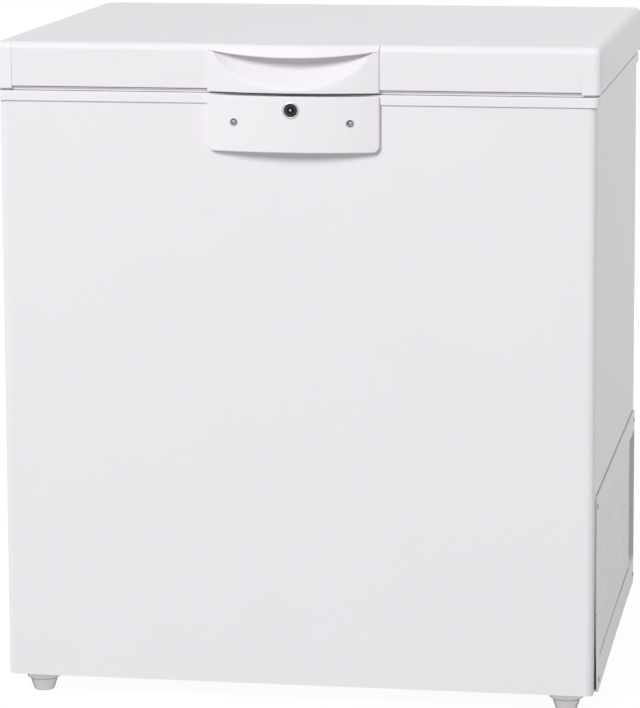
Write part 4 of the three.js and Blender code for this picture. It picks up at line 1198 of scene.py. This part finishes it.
for side in ("left", "right"):
    low, high = ends(f"hinge_bracket_{side}")
    centre_x = centre_of(f"hinge_bracket_{side}")[0]
    pivot_at = (centre_x, pin_y, pin_z)
    base = block("base", (low.x, high.x), (low.y, low.y + CHEEK), (low.z, frame_bottom - 1))
    round_edges(base, lambda edge: along(edge, "y") and middle(edge).z < low.z + 1, 6, 4)
    arc = [(pin_y + KNUCKLE * math.cos(math.radians(angle)),
            pin_z + KNUCKLE * math.sin(math.radians(angle))) for angle in range(0, 181, 15)]
    outline = [(low.y, low.z + 12), (pin_y + KNUCKLE, low.z + 40), *arc,
               (pin_y - KNUCKLE, CHANNEL_TOP), (low.y, CHANNEL_TOP)]
    cheeks = [cut_out("cheek", outline, "x", x, x + CHEEK) for x in (low.x, high.x - CHEEK)]
    for cheek in cheeks:
        carve(cheek, hole("bore", 3.3, -50, 50, pivot_at, "x", 24))
    bracket = join(f"hinge_channel_{side}", base, *cheeks)
    soften(bracket, 0.5, 2, 50)
    complete(bracket, hinge_zinc, "zinc", "cabinet", f"hinge_bracket_{side}")
    channel_spots = [(centre_x + x, low.y + CHEEK, z) for x, z in CHANNEL_SCREWS]

    low, high = ends(f"hinge_pin_{side}")
    length = high.x - low.x
    hinge_pin = turned(f"hinge_axle_{side}", [
        (0, 0), (2.2, 0), (3, 0.8), (3, length - 2.2), (5, length - 2.2), (5, length - 1),
        (4, length - 0.2), (0, length)], (low.x, pin_y, pin_z), "x", 32)
    complete(hinge_pin, screw_zinc, "zinc", "cabinet", f"hinge_pin_{side}")

    low, high = ends(f"hinge_arm_{side}")
    leaf = block("leaf", (low.x, high.x), (low.y, low.y + CHEEK), (pin_z + 5, high.z))
    round_edges(leaf, lambda edge: along(edge, "y") and middle(edge).z > high.z - 1, 6, 4)
    tube = turned("tube", [(3.05, -10), (6.5, -10), (6.5, 10), (3.05, 10), (3.05, -10)],
                  pivot_at, "x", 32)
    web = block("web", (centre_x - 10, centre_x + 10), (low.y, pin_y), (pin_z + 4, pin_z + 6.5))
    arm = join(f"hinge_leaf_{side}", leaf, tube, web)
    soften(arm, 0.4, 2, 50)
    complete(arm, hinge_zinc, "zinc", "lid", f"hinge_arm_{side}")
    leaf_spots = [(centre_x + x, low.y + CHEEK, z) for x, z in LEAF_SCREWS]

    low, high = ends(f"hinge_spring_{side}")
    start, run = low.x + 0.9, high.x - low.x - 1.8
    coil = []
    for step in range(TURNS * STEPS + 1):
        angle = 2 * math.pi * step / STEPS
        coil.append((start + run * step / (TURNS * STEPS), pin_y + COIL_RADIUS * math.cos(angle),
                     pin_z + COIL_RADIUS * math.sin(angle)))
    spring = wire(f"torsion_spring_{side}", coil, COIL_WIRE)
    complete(spring, screw_zinc, "zinc", "cabinet", f"hinge_spring_{side}", smooth=60)

    channel_screws = screws(f"channel_screws_{side}", "back", channel_spots)
    complete(channel_screws, screw_zinc, "zinc", "cabinet")
    leaf_screws = screws(f"leaf_screws_{side}", "back", leaf_spots, rise=1.5)
    complete(leaf_screws, screw_zinc, "zinc", "lid")


# ---- Basket ----
# Welded steel wire dipped in white plastic: four closed hoops, and bars bent to a U
# round them across and along. It hangs by its top hoop on the frame's ledge.
wire_coating = surface("white_dipped_wire", (0.80, 0.81, 0.83), 0.3, mottle=0.01, grain=700,
                       depth=0.08)
HOOP, BAR = 4, 3  # thickness of the wires
HALF_DEPTH = 248
END_SPACE, SIDE_SPACE = 14, 16  # from the lower hoops to the first bars
CROSS_BARS, LONG_BARS = 17, 7
low, high = ends("basket")
x0, x1 = low.x + BAR, high.x - BAR
floor_z = low.z + 2 * BAR
top_hoop = frame_top - LEDGE_DROP + 0.3 + HOOP / 2
upper_hoop = top_hoop - 18
lowest_hoop = floor_z + HOOP / 2


def hoop(half_depth, z):
    x, far_x, y = x0 + HOOP / 2, x1 - HOOP / 2, half_depth - HOOP / 2
    return wire("hoop", [(x, -y, z), (far_x, -y, z), (far_x, y, z), (x, y, z)], HOOP / 2,
                bend=14, closed=True)


def bar(*points):
    return wire("bar", points, BAR / 2, bend=8, sides=2)


def spread(first, last, count):
    return [first + i * (last - first) / (count - 1) for i in range(count)]


rods = [hoop(high.y, top_hoop)]
rods += [hoop(HALF_DEPTH, z) for z in (upper_hoop, (floor_z + upper_hoop) / 2, lowest_hoop)]
left, right, under, over = x0 + 0.6, x1 - 0.6, floor_z - 0.4, top_hoop + 1.2
for y in spread(END_SPACE - HALF_DEPTH, HALF_DEPTH - END_SPACE, CROSS_BARS):
    rods.append(bar((left, y, over), (left, y, under), (right, y, under), (right, y, over)))
near, far, under, over = 0.6 - HALF_DEPTH, HALF_DEPTH - 0.6, floor_z - 2.6, upper_hoop + 1.2
for x in spread(x0 + SIDE_SPACE, x1 - SIDE_SPACE, LONG_BARS):
    rods.append(bar((x, near, over), (x, near, under), (x, far, under), (x, far, over)))
basket = join("wire_basket", *rods)
complete(basket, wire_coating, "wire", "basket", "basket", smooth=60)
